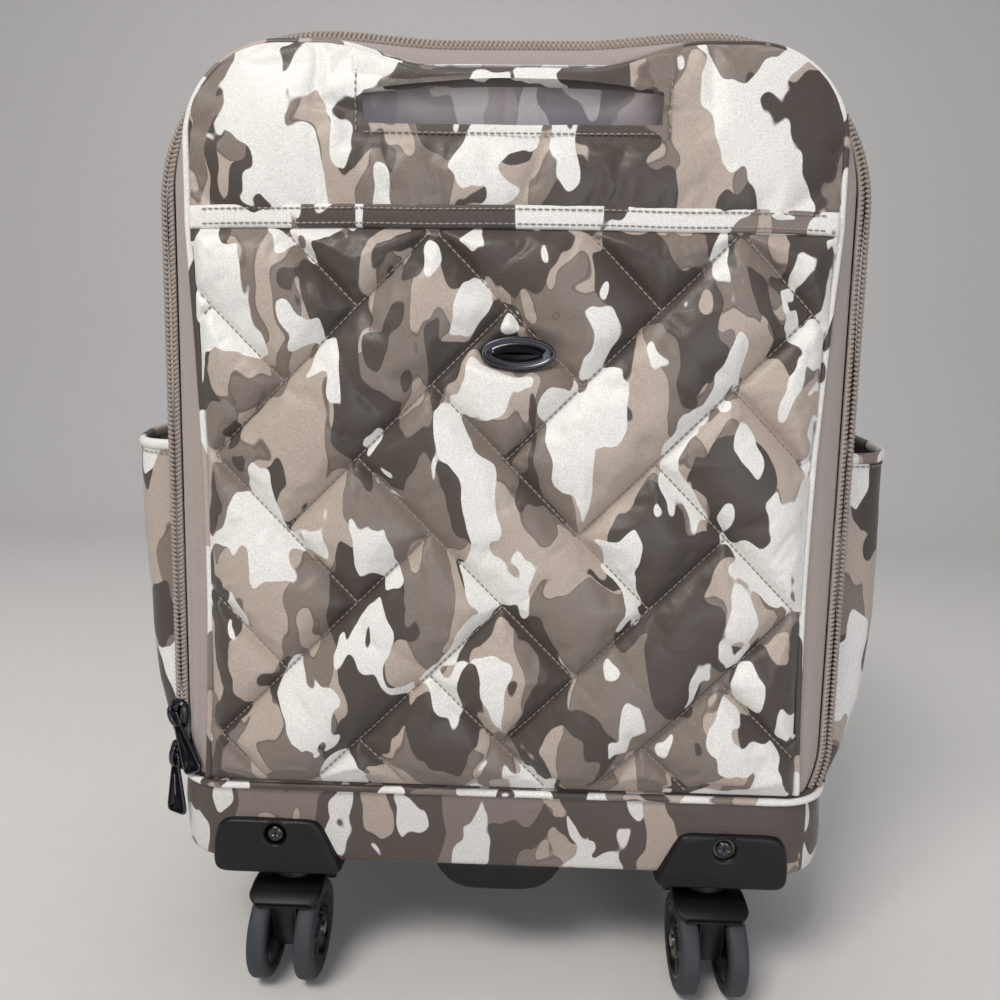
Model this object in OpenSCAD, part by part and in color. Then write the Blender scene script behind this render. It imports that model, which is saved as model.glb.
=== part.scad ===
// Upright soft-sided rolling bag on four twin-wheel swivel casters.
// Millimetres. Origin on the floor at the middle of the footprint, +Z up, front towards -Y, +X right.

/* [Body] */
// Half of the body's width, out to the crown of the zip
half_width = 178; // [160:1:200]
// Height of the zip's crown above the floor
body_top = 495; // [460:1:540]
// Radius of the body's top corners at the zip's crown
corner_r = 85; // [70:1:100]
// Front plane of the body, at the lid's face
front_y = -103; // [-110:1:-95]
// Back plane of the body
back_y = 115; // [105:1:130]
// Thickness of the padded side wall
wall = 4.5; // [3:0.5:6]

/* [Base] */
// Underside of the base
base_z = 70; // [66:1:76]
// Seam between the base band and the lid, where the lid hinges
hinge_z = 115; // [105:1:125]
// Radius of the base's front upright corners
base_front_r = 30; // [20:1:36]
// Radius of the base's rear upright corners
base_rear_r = 16; // [10:1:24]

/* [Lid] */
// Depth of the lid from its face to its rear edge
lid_depth = 16; // [14:1:20]
// Gap between the quilted front pocket and the lid's face
slip_gap = 4.9; // [4.6:0.1:6]
// Thickness of the quilted front pocket
quilt_thick = 5; // [4:0.5:7]
// Height of the quilted pocket's bound mouth
mouth_z = 400; // [380:1:410]
// Half the width of the grab handle's slot
slot_half = 68; // [55:1:75]
// Seam below the grab handle's slot
slot_low = 441; // [436:1:446]
// Underside of the padded grab handle
slot_high = 462; // [458:1:466]

/* [Zip] */
// Radius of the bead that stands for one half of the coil
coil_r = 1.4; // [1.2:0.1:1.5]
// Height of the upper slider's middle
slider_upper_z = 145; // [140:1:160]
// Height of the lower slider's middle
slider_lower_z = 122; // [122:1:126]
// Length of a pull tab
pull_length = 31; // [24:1:34]

/* [Side pockets] */
// How far a side pocket stands out
pocket_out = 40; // [30:1:50]
// Front of the side pockets
pocket_y0 = -58; // [-65:1:-45]
// Rear of the side pockets
pocket_y1 = 62; // [40:1:70]

/* [Casters] */
// Sideways distance of a kingpin from the middle
kingpin_x = 114; // [105:0.5:120]
// Distance of a kingpin behind the front plane or ahead of the back plane
kingpin_set = 22; // [20:1:28]
// How far the axle trails the kingpin
trail = 13; // [12:0.5:14]
// Radius of a wheel
wheel_r = 25; // [22:0.5:26]
// Width of a wheel
wheel_w = 10.4; // [9.6:0.2:11]
// Radius of the axles
axle_r = 3; // [2.5:0.1:3.5]
// Radius of the kingpins
kingpin_r = 4; // [3.5:0.1:4.5]

/* [Trolley handle] */
// Sideways distance of the tubes from the middle
tube_x = 70; // [60:1:76]
// Width of the fixed tubes
tube_w = 18; // [17:0.5:20]
// Depth of the fixed tubes
tube_d = 14; // [13:0.5:15]
// Wall of the tubes
tube_t = 1.2; // [1:0.1:1.3]
// Clearance between nested tubes
tube_gap = 0.3; // [0.3:0.05:0.4]

/* [Hidden] */
$fn = 64;

// Colours of the real finishes
camo = "#8d837a";
camo_dark = "#6d645c";
tape_grey = "#a0948f";
black = "#1b1b1d";
gunmetal = "#3a3c40";
silver = "#b8babd";

// The lid's rear edge and the plane where the side wall starts
lid_back_y = front_y + lid_depth;
side_y = lid_back_y + 1.6;
// Insets from the crown of the zip, measured sideways
inset_face = 27.6;
inset_piping = 21.9;
inset_lid_coil = 6.7;
inset_body_coil = 2.2;
inset_side = 1.5;
lid_coil_y = front_y + 12.2;
body_coil_y = front_y + 14.3;
piping_r = 2.3;
// A slider's plate in front of the chain's middle, and its pin in front of the plate's back
plate_back = 2.6;
pin_out = 3.5;
// The pan inside the band
band_t = 2.5;
pan_t = 2.5;
base_half = half_width - 2;
pan_half = base_half - band_t - 0.2;
// Front of the quilted pocket
quilt_y1 = front_y - slip_gap - 0.1;
quilt_y0 = quilt_y1 - quilt_thick;
quilt_low = hinge_z + 8;
rim_t = 4;
// Tube stages
tube_y = back_y - 18;
cover_y = tube_y - 13;
tube_low = base_z + 3.2;
tube_top = 474;
mid_w = tube_w - 2 * (tube_t + tube_gap);
mid_d = tube_d - 2 * (tube_t + tube_gap);
inner_w = mid_w - 2 * (tube_t + tube_gap);
inner_d = mid_d - 2 * (tube_t + tube_gap);
bezel_z = body_top + 0.2;
bezel_top = bezel_z + 4.6;
grip_low = bezel_top + 0.3;
grip_bar_low = grip_low + 12;
grip_top = grip_bar_low + 14;
button_travel = 3.5;
// Casters
boss_z = 61;
axle_z = wheel_r;
front_king_y = front_y + kingpin_set;
rear_king_y = back_y - kingpin_set;
web_half = 6.4;
running = 0.05;
housing_proud = 4;
screw_x = 4.5;
screw_z = 86;

// ---- shared shapes ----

// An upright outline in X and Z, extruded from y0 back to y1
module upright(y0, y1) {
    translate([0, y1, 0]) rotate([90, 0, 0]) linear_extrude(y1 - y0) children();
}

// The body's outline, with a flat bottom and round top corners
module tombstone(half, bottom, top, r) {
    translate([-half, bottom]) square([2 * half, top - r - bottom]);
    translate([-(half - r), bottom]) square([2 * (half - r), top - bottom]);
    for (side = [-1, 1]) translate([side * (half - r), top - r]) circle(r);
}

// The same outline brought in from the zip's crown by a sideways inset
function inset_half(i) = half_width - i;
function inset_top(i) = body_top - 0.55 * i;
function inset_r(i) = corner_r - 1.4 * i;
module outline(i, bottom) {
    tombstone(inset_half(i), bottom, inset_top(i), inset_r(i));
}

// A wall between two insets, open at the bottom
module arch(outer, inner, bottom) {
    difference() {
        outline(outer, bottom);
        outline(inner, bottom - 1);
    }
}

// A round bead that follows the outline up one side, over the top and down the other
module bead(i, y, r, bottom) {
    half = inset_half(i);
    top = inset_top(i);
    bend = inset_r(i);
    for (side = [-1, 1]) {
        translate([side * half, y, bottom]) cylinder(r = r, h = top - bend - bottom);
    }
    translate([-(half - bend), y, top]) rotate([0, 90, 0]) cylinder(r = r, h = 2 * (half - bend));
    for (side = [0, 1]) mirror([side, 0, 0])
        translate([half - bend, y, top - bend]) rotate([90, 0, 0])
            rotate_extrude(angle = 90) translate([bend, 0]) circle(r);
}

// A rounded outline seen from above
module plan(half, y0, y1, front_r, rear_r) {
    translate([-half, y0 + front_r]) square([2 * half, y1 - rear_r - y0 - front_r]);
    translate([-(half - front_r), y0]) square([2 * (half - front_r), front_r + 1]);
    translate([-(half - rear_r), y1 - rear_r - 1]) square([2 * (half - rear_r), rear_r + 1]);
    for (side = [-1, 1]) {
        translate([side * (half - front_r), y0 + front_r]) circle(front_r);
        translate([side * (half - rear_r), y1 - rear_r]) circle(rear_r);
    }
}

// The base's outline, brought in by an inset
module base_plan(inset) {
    plan(base_half - inset, front_y + inset, back_y - inset, base_front_r - inset, base_rear_r - inset);
}

// A pair of rectangular tubes
module tube_pair(w, d, low, high) {
    for (side = [-1, 1]) translate([side * tube_x, tube_y, 0]) difference() {
        translate([-w / 2, -d / 2, low]) cube([w, d, high - low]);
        translate([-w / 2 + tube_t, -d / 2 + tube_t, low - 1])
            cube([w - 2 * tube_t, d - 2 * tube_t, high - low + 2]);
    }
}

// Places a part at each of the four kingpins, mirrored so that +X stays outwards
module at_kingpins() {
    for (side = [0, 1]) mirror([side, 0, 0]) {
        translate([kingpin_x, front_king_y, 0]) children();
        translate([kingpin_x, rear_king_y, 0]) mirror([0, 1, 0]) children();
    }
}

// ---- body ----

module base_pan() color(black) {
    inset = band_t + 0.2;
    difference() {
        translate([0, 0, base_z]) linear_extrude(hinge_z - base_z - 3) base_plan(inset);
        translate([0, 0, base_z + 3]) linear_extrude(hinge_z) base_plan(inset + pan_t);
    }
}

module base_band() color(camo) {
    translate([0, 0, base_z]) linear_extrude(hinge_z - 0.5 - base_z) difference() {
        base_plan(0);
        base_plan(band_t);
    }
}

module edge_piping() color(camo_dark) {
    translate([0, 0, hinge_z - 5]) linear_extrude(3) difference() {
        base_plan(-1.6);
        base_plan(-0.1);
    }
    bead(inset_side + 2.5, back_y - 2.7, 2.2, hinge_z + 0.3);
}

module gusset_shell() color(camo) {
    difference() {
        upright(side_y, back_y - 5) arch(inset_side, inset_side + wall, hinge_z);
        translate([-88.3, tube_y - 9.8, body_top - 20]) cube([176.6, 19.6, 40]);
    }
}

module back_panel() color(camo_dark) {
    upright(back_y - 4.8, back_y - 0.5) outline(inset_side + 8.2, hinge_z);
}

module lining() color(tape_grey) {
    upright(side_y + 0.3, cover_y) arch(inset_side + wall + 0.2, inset_side + wall + 1.2, hinge_z);
}

// Lined board that keeps the load off the handle's tubes
module tube_cover() color(tape_grey) {
    upright(cover_y + 0.1, cover_y + 1.6) outline(8.2, base_z + 3.3);
}

module zip_tape_body() color(tape_grey) {
    upright(front_y + 14.8, side_y - 0.1) arch(5, 6.3, hinge_z);
}

module zip_coil_body() color(tape_grey) {
    bead(inset_body_coil, body_coil_y, coil_r, hinge_z);
}

// A gusseted pouch, open at its top and against the body's side
module side_pocket() {
    foot = half_width - inset_side + 0.1;
    reach = half_width - inset_side + pocket_out;
    skin = 2.2;
    difference() {
        upright(pocket_y0, pocket_y1) polygon([[foot, 80], [foot + 10, 90], [reach - 12, 135],
            [reach - 2.5, 180], [reach, 235], [reach - 1, 330], [foot, 330]]);
        upright(pocket_y0 + skin, pocket_y1 - skin) polygon([[foot - 1, 92], [foot + 6, 97],
            [reach - 15.5, 137], [reach - skin - 2.7, 181], [reach - skin, 235],
            [reach - skin - 1, 340], [foot - 1, 340]]);
        translate([foot - 5, pocket_y0 - 1, 290]) rotate([9.5, 0, 0]) cube([pocket_out + 20, 150, 80]);
        translate([foot - 1, pocket_y0 - 1, hinge_z - 5.1]) cube([base_half + 2.7 - foot, 150, 3.2]);
    }
}
module pocket_left() color(camo) mirror([1, 0, 0]) side_pocket();
module pocket_right() color(camo) side_pocket();

module bottom_grip() color(black) {
    top = base_z - 0.2;
    upright(front_y + 3, front_y + 12) polygon([[-32.5, top], [-32.5, 64], [-28, 58.5], [-20, 55.5],
        [0, 55], [20, 55.5], [28, 58.5], [32.5, 64], [32.5, top]]);
    translate([-32.5, front_y + 12, top - 2.6]) cube([65, 18, 2.6]);
    for (side = [-1, 1]) translate([side * 31 - 1.5, front_y + 12, 63]) cube([3, 14, 4.3]);
}

module trolley_outer_tubes() color(silver) tube_pair(tube_w, tube_d, tube_low, tube_top);

// Moulded mouth of the handle in the body's top, with a plate that lies on the fabric
module trolley_bezel() color(black) {
    difference() {
        union() {
            translate([-96, tube_y - 14, bezel_z]) cube([192, 28, bezel_top - bezel_z]);
            translate([-88, tube_y - 9.5, tube_top + 0.2]) cube([176, 19, bezel_z - tube_top]);
        }
        for (side = [-1, 1]) translate([side * tube_x - mid_w / 2 - 0.5, tube_y - mid_d / 2 - 0.5, 470])
            cube([mid_w + 1, mid_d + 1, 40]);
        translate([-tube_x + 15, tube_y - 7.5, 470]) cube([2 * tube_x - 30, 15, 22]);
    }
}

// ---- casters ----

// Moulded corner: a face plate on the body, a foot plate under the base and a round boss
module caster_housings() color(black) at_kingpins() {
    face_y = -kingpin_set - housing_proud;
    difference() {
        union() {
            upright(face_y, -kingpin_set - 0.2) polygon([[-32, 64], [34.5, 64], [38, 68],
                [38, 80], [36, 89], [31, 94], [-16, 94], [-20.5, 90]]);
            translate([-30, face_y + 1, 64]) cube([60, kingpin_set + 26, base_z - 64.2]);
            translate([0, 0, boss_z]) cylinder(r = 20, h = 5);
        }
        translate([0, 0, 50]) cylinder(r = kingpin_r, h = 30);
        translate([screw_x, face_y - 1, screw_z]) rotate([-90, 0, 0]) cylinder(r = 5.2, h = 3);
        translate([screw_x, face_y - 1, screw_z]) rotate([-90, 0, 0]) cylinder(r = 2.2, h = 12);
    }
}

module housing_screws() color(gunmetal) at_kingpins() {
    face_y = -kingpin_set - housing_proud;
    difference() {
        union() {
            translate([screw_x, face_y + 0.6, screw_z]) rotate([-90, 0, 0]) cylinder(r = 4, h = 1.4);
            translate([screw_x, face_y + 1.5, screw_z]) rotate([-90, 0, 0]) cylinder(r = 2.2, h = 2.1);
        }
        for (turn = [0, 90]) translate([screw_x, face_y + 0.5, screw_z]) rotate([0, turn, 0])
            translate([-2.2, 0, -0.5]) cube([4.4, 0.8, 1]);
    }
}

module caster_kingpins() color(silver) at_kingpins() {
    translate([0, 0, 44]) cylinder(r = kingpin_r, h = base_z - 44.6);
    translate([0, 0, 43.6]) cylinder(r = 6.2, h = 2.4);
}

module caster_washers() color(silver) at_kingpins() {
    translate([0, 0, boss_z - 0.9]) difference() {
        cylinder(r = 11, h = 0.8);
        translate([0, 0, -1]) cylinder(r = kingpin_r + 0.1, h = 3);
    }
}

// A cylinder along X through the wheel centre
module cross_cylinder(r, x0, x1) {
    translate([x0, -trail, axle_z]) rotate([0, 90, 0]) cylinder(r = r, h = x1 - x0);
}

// Swivelling fork: a barrel on the kingpin, a hood over the wheels and a web between them
module fork() color(black) {
    difference() {
        union() {
            translate([0, 0, 46.5]) cylinder(r = 15, h = 13.1);
            intersection() {
                cross_cylinder(wheel_r + 5, -19.2, 19.2);
                translate([-25, -trail - 40, 42]) cube([50, 64, 20]);
            }
            cross_cylinder(9, -web_half, web_half);
            translate([-web_half, -trail - 14, axle_z + 3]) cube([2 * web_half, 30, 24]);
        }
        cross_cylinder(wheel_r + 1.4, web_half, 40);
        cross_cylinder(wheel_r + 1.4, -40, -web_half);
        cross_cylinder(axle_r, -30, 30);
        translate([0, 0, 40]) cylinder(r = kingpin_r + running, h = 30);
        translate([0, 0, 36]) cylinder(r = 6.8, h = 10.5);
    }
}

module axle() color(silver) cross_cylinder(axle_r, -18.6, 18.6);

module tyre(side) color("#3b3c40") {
    half = wheel_w / 2;
    soft = 2.4;
    translate([side * (web_half + 0.9 + half), -trail, axle_z]) rotate([0, 90, 0]) rotate_extrude($fn = 96)
        polygon([[18.5, -half], [wheel_r - soft, -half], [wheel_r - 0.8, 0.8 - half],
            [wheel_r, soft - half], [wheel_r, half - soft], [wheel_r - 0.8, half - 0.8],
            [wheel_r - soft, half], [18.5, half]]);
}

module hub(side) color(black) {
    half = wheel_w / 2 - 0.4;
    translate([side * (web_half + 0.9 + wheel_w / 2), -trail, axle_z]) rotate([0, 90, 0])
        rotate_extrude($fn = 96) polygon([[axle_r + running, -half - 0.2], [7, -half - 0.2], [7, 1.4 - half],
            [16, 1.4 - half], [18.45, -half], [18.45, half], [16, half - 1.4], [7, half - 1.4],
            [7, half - 0.2], [axle_r + running, half - 0.2]]);
}

module at_corner(side, y) {
    translate([side * kingpin_x, y, 0]) children();
}

// ---- lid ----

module lid_shell() color(camo) {
    difference() {
        union() {
            upright(front_y, front_y + 4.5) outline(inset_face, hinge_z + 0.3);
            upright(front_y + 4.5, front_y + 8) arch(17, 29, hinge_z + 0.3);
            upright(front_y + 8, front_y + 11.5) arch(12.5, 20.5, hinge_z + 0.3);
            upright(front_y + 11.5, lid_back_y) arch(10.6, 16.5, hinge_z + 0.3);
        }
        translate([-slot_half, front_y - 1, slot_low]) cube([2 * slot_half, 8, 31]);
    }
}

// Lined box behind the slot
module handle_recess() color(silver) {
    difference() {
        translate([-75, front_y + 4.7, slot_low - 4]) cube([150, 10.4, 39]);
        translate([-slot_half - 4, front_y + 4, slot_low - 1.5]) cube([2 * slot_half + 8, 9.6, 34]);
    }
}

module quilted_pocket() color(camo) {
    wide = inset_half(inset_face) - 1;
    upright(quilt_y0, quilt_y1) translate([-wide, quilt_low]) square([2 * wide, mouth_z - quilt_low]);
    upright(quilt_y1, front_y - 0.1) difference() {
        translate([-wide, quilt_low]) square([2 * wide, mouth_z - quilt_low]);
        translate([-wide + rim_t, quilt_low + rim_t]) square([2 * (wide - rim_t), mouth_z]);
    }
}

module pocket_binding() color(camo_dark) {
    wide = inset_half(inset_face) - 1;
    upright(quilt_y0 - 0.5, quilt_y1) translate([-wide, mouth_z + 0.1]) square([2 * wide, 7]);
}

// Padded band over the slot, sewn to the face at both ends
module grab_handle() color(camo) {
    upright(front_y - 8, front_y - 1) translate([-slot_half - 9, slot_high]) square([2 * slot_half + 18, 15]);
    for (side = [-1, 1])
        upright(front_y - 1, front_y - 0.1) translate([side * (slot_half + 5) - 4, slot_high]) square([8, 15]);
}

module lid_piping() color(camo_dark) bead(inset_piping, front_y + 1.8, piping_r, hinge_z + 0.3);

module zip_tape_lid() color(tape_grey) upright(front_y + 6, front_y + 10.8) arch(11.2, 12.4, hinge_z + 0.3);

// The lid's half of the coil starts above the lower slider, which stays on the body
module zip_coil_lid() color(tape_grey) bead(inset_lid_coil, lid_coil_y, coil_r, slider_lower_z + 9);

// Plain oval plate
module badge_plate() color(gunmetal) {
    upright(quilt_y0 - 2.1, quilt_y0 - 0.1) union() {
        translate([-5, 331]) square([20, 16]);
        for (end = [-5, 15]) translate([end, 339]) circle(8);
    }
}

// ---- sliders ----

// Local axes at a slider: X across the chain towards the bag's middle, -Y outwards, Z up
module at_zip(z) {
    x = -(half_width - (inset_lid_coil + inset_body_coil) / 2);
    y = (lid_coil_y + body_coil_y) / 2;
    turn = -atan2(body_coil_y - lid_coil_y, inset_lid_coil - inset_body_coil);
    translate([x, y, z]) rotate([0, 0, turn]) children();
}

// Slider plate over both halves of the coil, with a lip on the lid's side and two lugs with a pin
module slider(swing) color(gunmetal) {
    plate_y = -plate_back;
    pin_y = plate_y - pin_out;
    difference() {
        union() {
            translate([-6.2, plate_y - 1.6, -7]) cube([12.4, 1.6, 14]);
            translate([5.1, plate_y, -7]) cube([1.1, 2.4, 14]);
        }
        for (side = [-1, 1]) translate([side * 7.5, plate_y - 2, -9]) rotate([0, side * 25, 0])
            translate([-3, 0, -2]) cube([6, 1.8, 8]);
    }
    translate([0, pin_y, 1]) rotate([0, swing, 0]) {
        for (side = [-1, 1]) translate([side * 2.9 - 0.6, -1.5, -1.5]) cube([1.2, 3.5, 3]);
        translate([-3.2, 0, 0]) rotate([0, 90, 0]) cylinder(r = 0.8, h = 6.4);
    }
}

// Tapered tab with an eye on the slider's pin
module pull(swing) color(gunmetal) {
    pin_y = -plate_back - pin_out;
    half_top = 2;
    half_low = 6.2;
    translate([0, pin_y, 1]) rotate([0, swing, 0]) {
        difference() {
            union() {
                translate([-half_top, 0, 0]) rotate([0, 90, 0]) cylinder(r = 1.5, h = 2 * half_top);
                upright(-0.8, 0.8) polygon([[-half_top, -1], [half_top, -1],
                    [half_low, -pull_length + 3], [half_low - 3, -pull_length],
                    [3 - half_low, -pull_length], [-half_low, -pull_length + 3]]);
            }
            translate([-10, 0, 0]) rotate([0, 90, 0]) cylinder(r = 0.8 + running, h = 20);
        }
    }
}

module slider_upper() at_zip(slider_upper_z) slider(-25);
module pull_upper() at_zip(slider_upper_z) pull(-25);
module slider_lower() at_zip(slider_lower_z) slider(0);
module pull_lower() at_zip(slider_lower_z) pull(0);

// ---- trolley handle ----

module trolley_mid_tubes() color(silver) tube_pair(mid_w, mid_d, tube_low + 6, bezel_top - 2);
module trolley_inner_tubes() color(silver) tube_pair(inner_w, inner_d, tube_low + 12, grip_low + 0.1);

module trolley_grip() color(black) {
    difference() {
        union() {
            translate([-82, tube_y - 11, grip_bar_low]) cube([164, 22, 14]);
            for (side = [-1, 1]) translate([side * tube_x - 12, tube_y - 11, grip_low + 0.1]) cube([24, 22, 12]);
        }
        translate([-16.4, tube_y - 6.9, grip_top - 8]) cube([32.8, 13.8, 10]);
    }
}

module trolley_button() color(gunmetal)
    translate([-16, tube_y - 6.5, grip_top - 4]) cube([32, 13, 5.5]);

base_pan();
base_band();
edge_piping();
gusset_shell();
back_panel();
lining();
tube_cover();
zip_tape_body();
zip_coil_body();
pocket_left();
pocket_right();
bottom_grip();
trolley_outer_tubes();
trolley_bezel();
caster_housings();
housing_screws();
caster_kingpins();
caster_washers();
lid_shell();
handle_recess();
quilted_pocket();
pocket_binding();
grab_handle();
lid_piping();
zip_tape_lid();
zip_coil_lid();
badge_plate();
slider_upper();
pull_upper();
slider_lower();
pull_lower();
trolley_mid_tubes();
trolley_inner_tubes();
trolley_grip();
trolley_button();
at_corner(-1, front_king_y) fork();  // fork_fl
at_corner(1, front_king_y) fork();  // fork_fr
at_corner(-1, rear_king_y) fork();  // fork_rl
at_corner(1, rear_king_y) fork();  // fork_rr
at_corner(-1, front_king_y) axle();  // axle_fl
at_corner(1, front_king_y) axle();  // axle_fr
at_corner(-1, rear_king_y) axle();  // axle_rl
at_corner(1, rear_king_y) axle();  // axle_rr
at_corner(-1, front_king_y) tyre(-1);  // tyre_fl_l
at_corner(-1, front_king_y) tyre(1);  // tyre_fl_r
at_corner(1, front_king_y) tyre(-1);  // tyre_fr_l
at_corner(1, front_king_y) tyre(1);  // tyre_fr_r
at_corner(-1, rear_king_y) tyre(-1);  // tyre_rl_l
at_corner(-1, rear_king_y) tyre(1);  // tyre_rl_r
at_corner(1, rear_king_y) tyre(-1);  // tyre_rr_l
at_corner(1, rear_king_y) tyre(1);  // tyre_rr_r
at_corner(-1, front_king_y) hub(-1);  // hub_fl_l
at_corner(-1, front_king_y) hub(1);  // hub_fl_r
at_corner(1, front_king_y) hub(-1);  // hub_fr_l
at_corner(1, front_king_y) hub(1);  // hub_fr_r
at_corner(-1, rear_king_y) hub(-1);  // hub_rl_l
at_corner(-1, rear_king_y) hub(1);  // hub_rl_r
at_corner(1, rear_king_y) hub(-1);  // hub_rr_l
at_corner(1, rear_king_y) hub(1);  // hub_rr_r
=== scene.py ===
import math
import bpy
import numpy as np
from mathutils import Matrix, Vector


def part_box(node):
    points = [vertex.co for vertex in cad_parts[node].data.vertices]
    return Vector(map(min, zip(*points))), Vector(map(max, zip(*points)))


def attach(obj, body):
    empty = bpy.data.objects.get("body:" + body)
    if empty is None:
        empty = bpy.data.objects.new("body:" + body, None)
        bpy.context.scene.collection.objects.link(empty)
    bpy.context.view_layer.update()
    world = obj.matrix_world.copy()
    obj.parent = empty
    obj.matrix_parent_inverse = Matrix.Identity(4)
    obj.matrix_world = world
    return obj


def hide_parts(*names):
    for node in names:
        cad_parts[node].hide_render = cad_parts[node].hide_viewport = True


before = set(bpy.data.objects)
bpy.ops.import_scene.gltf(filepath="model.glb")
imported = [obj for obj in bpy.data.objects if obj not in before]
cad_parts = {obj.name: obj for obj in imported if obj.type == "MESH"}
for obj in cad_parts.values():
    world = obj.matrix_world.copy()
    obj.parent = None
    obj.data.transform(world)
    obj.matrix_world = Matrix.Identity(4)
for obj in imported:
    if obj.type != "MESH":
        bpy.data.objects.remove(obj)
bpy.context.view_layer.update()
mm = 0.001


def boxMm(node):
    # lowest and highest corners of a frame node, in millimetres
    low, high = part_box(node)
    return np.array(low) / mm, np.array(high) / mm


lidLow, _ = boxMm("lid_shell")
bandLow, bandHigh = boxMm("base_band")
sideLow, sideHigh = boxMm("gusset_shell")
_, quiltHigh = boxMm("quilted_pocket")
bag = {
    "front": lidLow[1],             # face of the lid
    "back": bandHigh[1],            # rear face
    "hinge": sideLow[2],            # seam between the band and the lid
    "base": bandLow[2],             # underside
    "half": sideHigh[0] + 1.5,      # half width at the zip's crown
    "top": sideHigh[2] + 0.8,       # zip's crown
    "corner": 85.0,                 # radius of the top corners at the crown
}

# focal length in thousandths of the image width, angles in degrees, place in mm
view = {"focal": 751.0, "pitch": 6.5, "yaw": -1.6, "roll": 1.1, "place": (8.0, bag["front"] - 376.0, 310.0)}


def makeCamera():
    pitch, yaw, roll = (math.radians(view[k]) for k in ("pitch", "yaw", "roll"))
    ahead = np.array([math.sin(yaw) * math.cos(pitch), math.cos(yaw) * math.cos(pitch), -math.sin(pitch)])
    right = np.array([math.cos(yaw), -math.sin(yaw), 0.0])
    up = np.cross(right, ahead)
    tilted = math.cos(roll) * right + math.sin(roll) * up
    upright = -math.sin(roll) * right + math.cos(roll) * up
    data = bpy.data.cameras.new("camera")
    data.sensor_width = 36.0
    data.lens = view["focal"] / 1000.0 * data.sensor_width
    data.clip_start = 0.02
    camera = bpy.data.objects.new("camera", data)
    bpy.context.scene.collection.objects.link(camera)
    turn = Matrix([list(r) for r in np.stack([tilted, upright, -ahead], 1)]).to_4x4()
    camera.matrix_world = Matrix.Translation(np.array(view["place"]) * mm) @ turn
    bpy.context.scene.camera = camera


makeCamera()
print("camera placed")


def combine(*parts):
    # coordinates stretched to one grid and put side by side, such as x, y and z into points
    return np.stack(np.broadcast_arrays(*parts), -1)


def unit(v):
    return v / np.maximum(np.linalg.norm(v, axis=-1, keepdims=True), 1e-9)


def smooth(t):
    # ease from 0 to 1
    t = np.clip(t, 0.0, 1.0)
    return t * t * (3 - 2 * t)


def gridFaces(rows, cols, wrapRows=False, wrapCols=False):
    # quads between the neighbours of a grid stored row by row
    r = np.arange(rows if wrapRows else rows - 1)
    c = np.arange(cols if wrapCols else cols - 1)
    r, c = np.meshgrid(r, c, indexing="ij")
    r2, c2 = (r + 1) % rows, (c + 1) % cols
    return np.stack([r * cols + c, r * cols + c2, r2 * cols + c2, r2 * cols + c], -1).reshape(-1, 4)


def endCaps(rows, cols, start=0):
    # the two rings that close a tube stored row by row
    ring = np.arange(cols)
    return [start + ring[::-1], start + (rows - 1) * cols + ring]


def makePiece(name, points, faces, body, slotName, material, replaced="", outFrom=None, uv=None, caps=(),
              solid=0.0):
    # points are in millimetres; faces are turned to look away from outFrom, or outwards on a closed shape;
    # replaced names the frame nodes that it stands for
    points = np.asarray(points, float).reshape(-1, 3)
    faces = np.asarray(faces)
    across = np.cross(points[faces[:, 2]] - points[faces[:, 0]], points[faces[:, -1]] - points[faces[:, 1]])
    middle = points[faces].mean(1)
    away = middle - (np.array(outFrom) if outFrom is not None else points.mean(0))
    caps = [np.asarray(c) for c in caps]
    if np.sum(across * away) < 0:
        faces = faces[:, ::-1]
        caps = [c[::-1] for c in caps]
    mesh = bpy.data.meshes.new(name)
    mesh.from_pydata((points * mm).tolist(), [], faces.tolist() + [c.tolist() for c in caps])
    mesh.polygons.foreach_set("use_smooth", np.ones(len(mesh.polygons), bool))
    if uv is not None:
        layer = mesh.uv_layers.new(name="UVMap")
        corner = np.zeros(len(mesh.loops), int)
        mesh.loops.foreach_get("vertex_index", corner)
        layer.data.foreach_set("uv", np.asarray(uv, float).reshape(-1, 2)[corner].ravel())
    mesh.materials.append(material)
    made = bpy.data.objects.new(name, mesh)
    bpy.context.scene.collection.objects.link(made)
    if solid:
        wall = made.modifiers.new("wall", "SOLIDIFY")
        wall.thickness, wall.offset = solid * mm, -1.0
    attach(made, body)
    if replaced:
        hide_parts(*replaced.split())
    return made


def carry(path, side, up, profile):
    # a profile of (sideways, upwards) offsets carried along a path: point = path + side * a + up * b
    profile = np.asarray(profile, float)
    if profile.ndim == 2:
        profile = np.broadcast_to(profile, (len(path),) + profile.shape)
    return path[:, None] + side[:, None] * profile[..., :1] + up[:, None] * profile[..., 1:]


def frameAlong(path, up):
    # side and up vectors across a path that keep close to the given up
    ahead = unit(np.gradient(path, axis=0))
    up = np.broadcast_to(np.asarray(up, float), path.shape)
    side = unit(np.cross(ahead, up))
    return side, np.cross(side, ahead)


def ring(radius, count=12, flat=1.0):
    # a round or flattened ring of offsets
    turn = np.arange(count) * 2 * math.pi / count
    return combine(radius * np.cos(turn), radius * flat * np.sin(turn))


def roundedRing(halfA, halfB, bend, perCorner=6):
    # a rectangle with round corners, as offsets going once round
    turn = np.linspace(0, math.pi / 2, perCorner)
    parts = []
    for k, (sa, sb) in enumerate(((1, 1), (-1, 1), (-1, -1), (1, -1))):
        angle = turn + k * math.pi / 2
        parts.append(combine(sa * (halfA - bend) + bend * np.cos(angle),
                             sb * (halfB - bend) + bend * np.sin(angle)))
    return np.concatenate(parts)


def resample(line, count):
    # the same line with evenly spaced points
    run = np.concatenate([[0], np.cumsum(np.linalg.norm(np.diff(line, axis=0), axis=1))])
    at = np.linspace(0, run[-1], count)
    return np.stack([np.interp(at, run, line[:, k]) for k in range(line.shape[1])], 1), run[-1]


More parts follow.
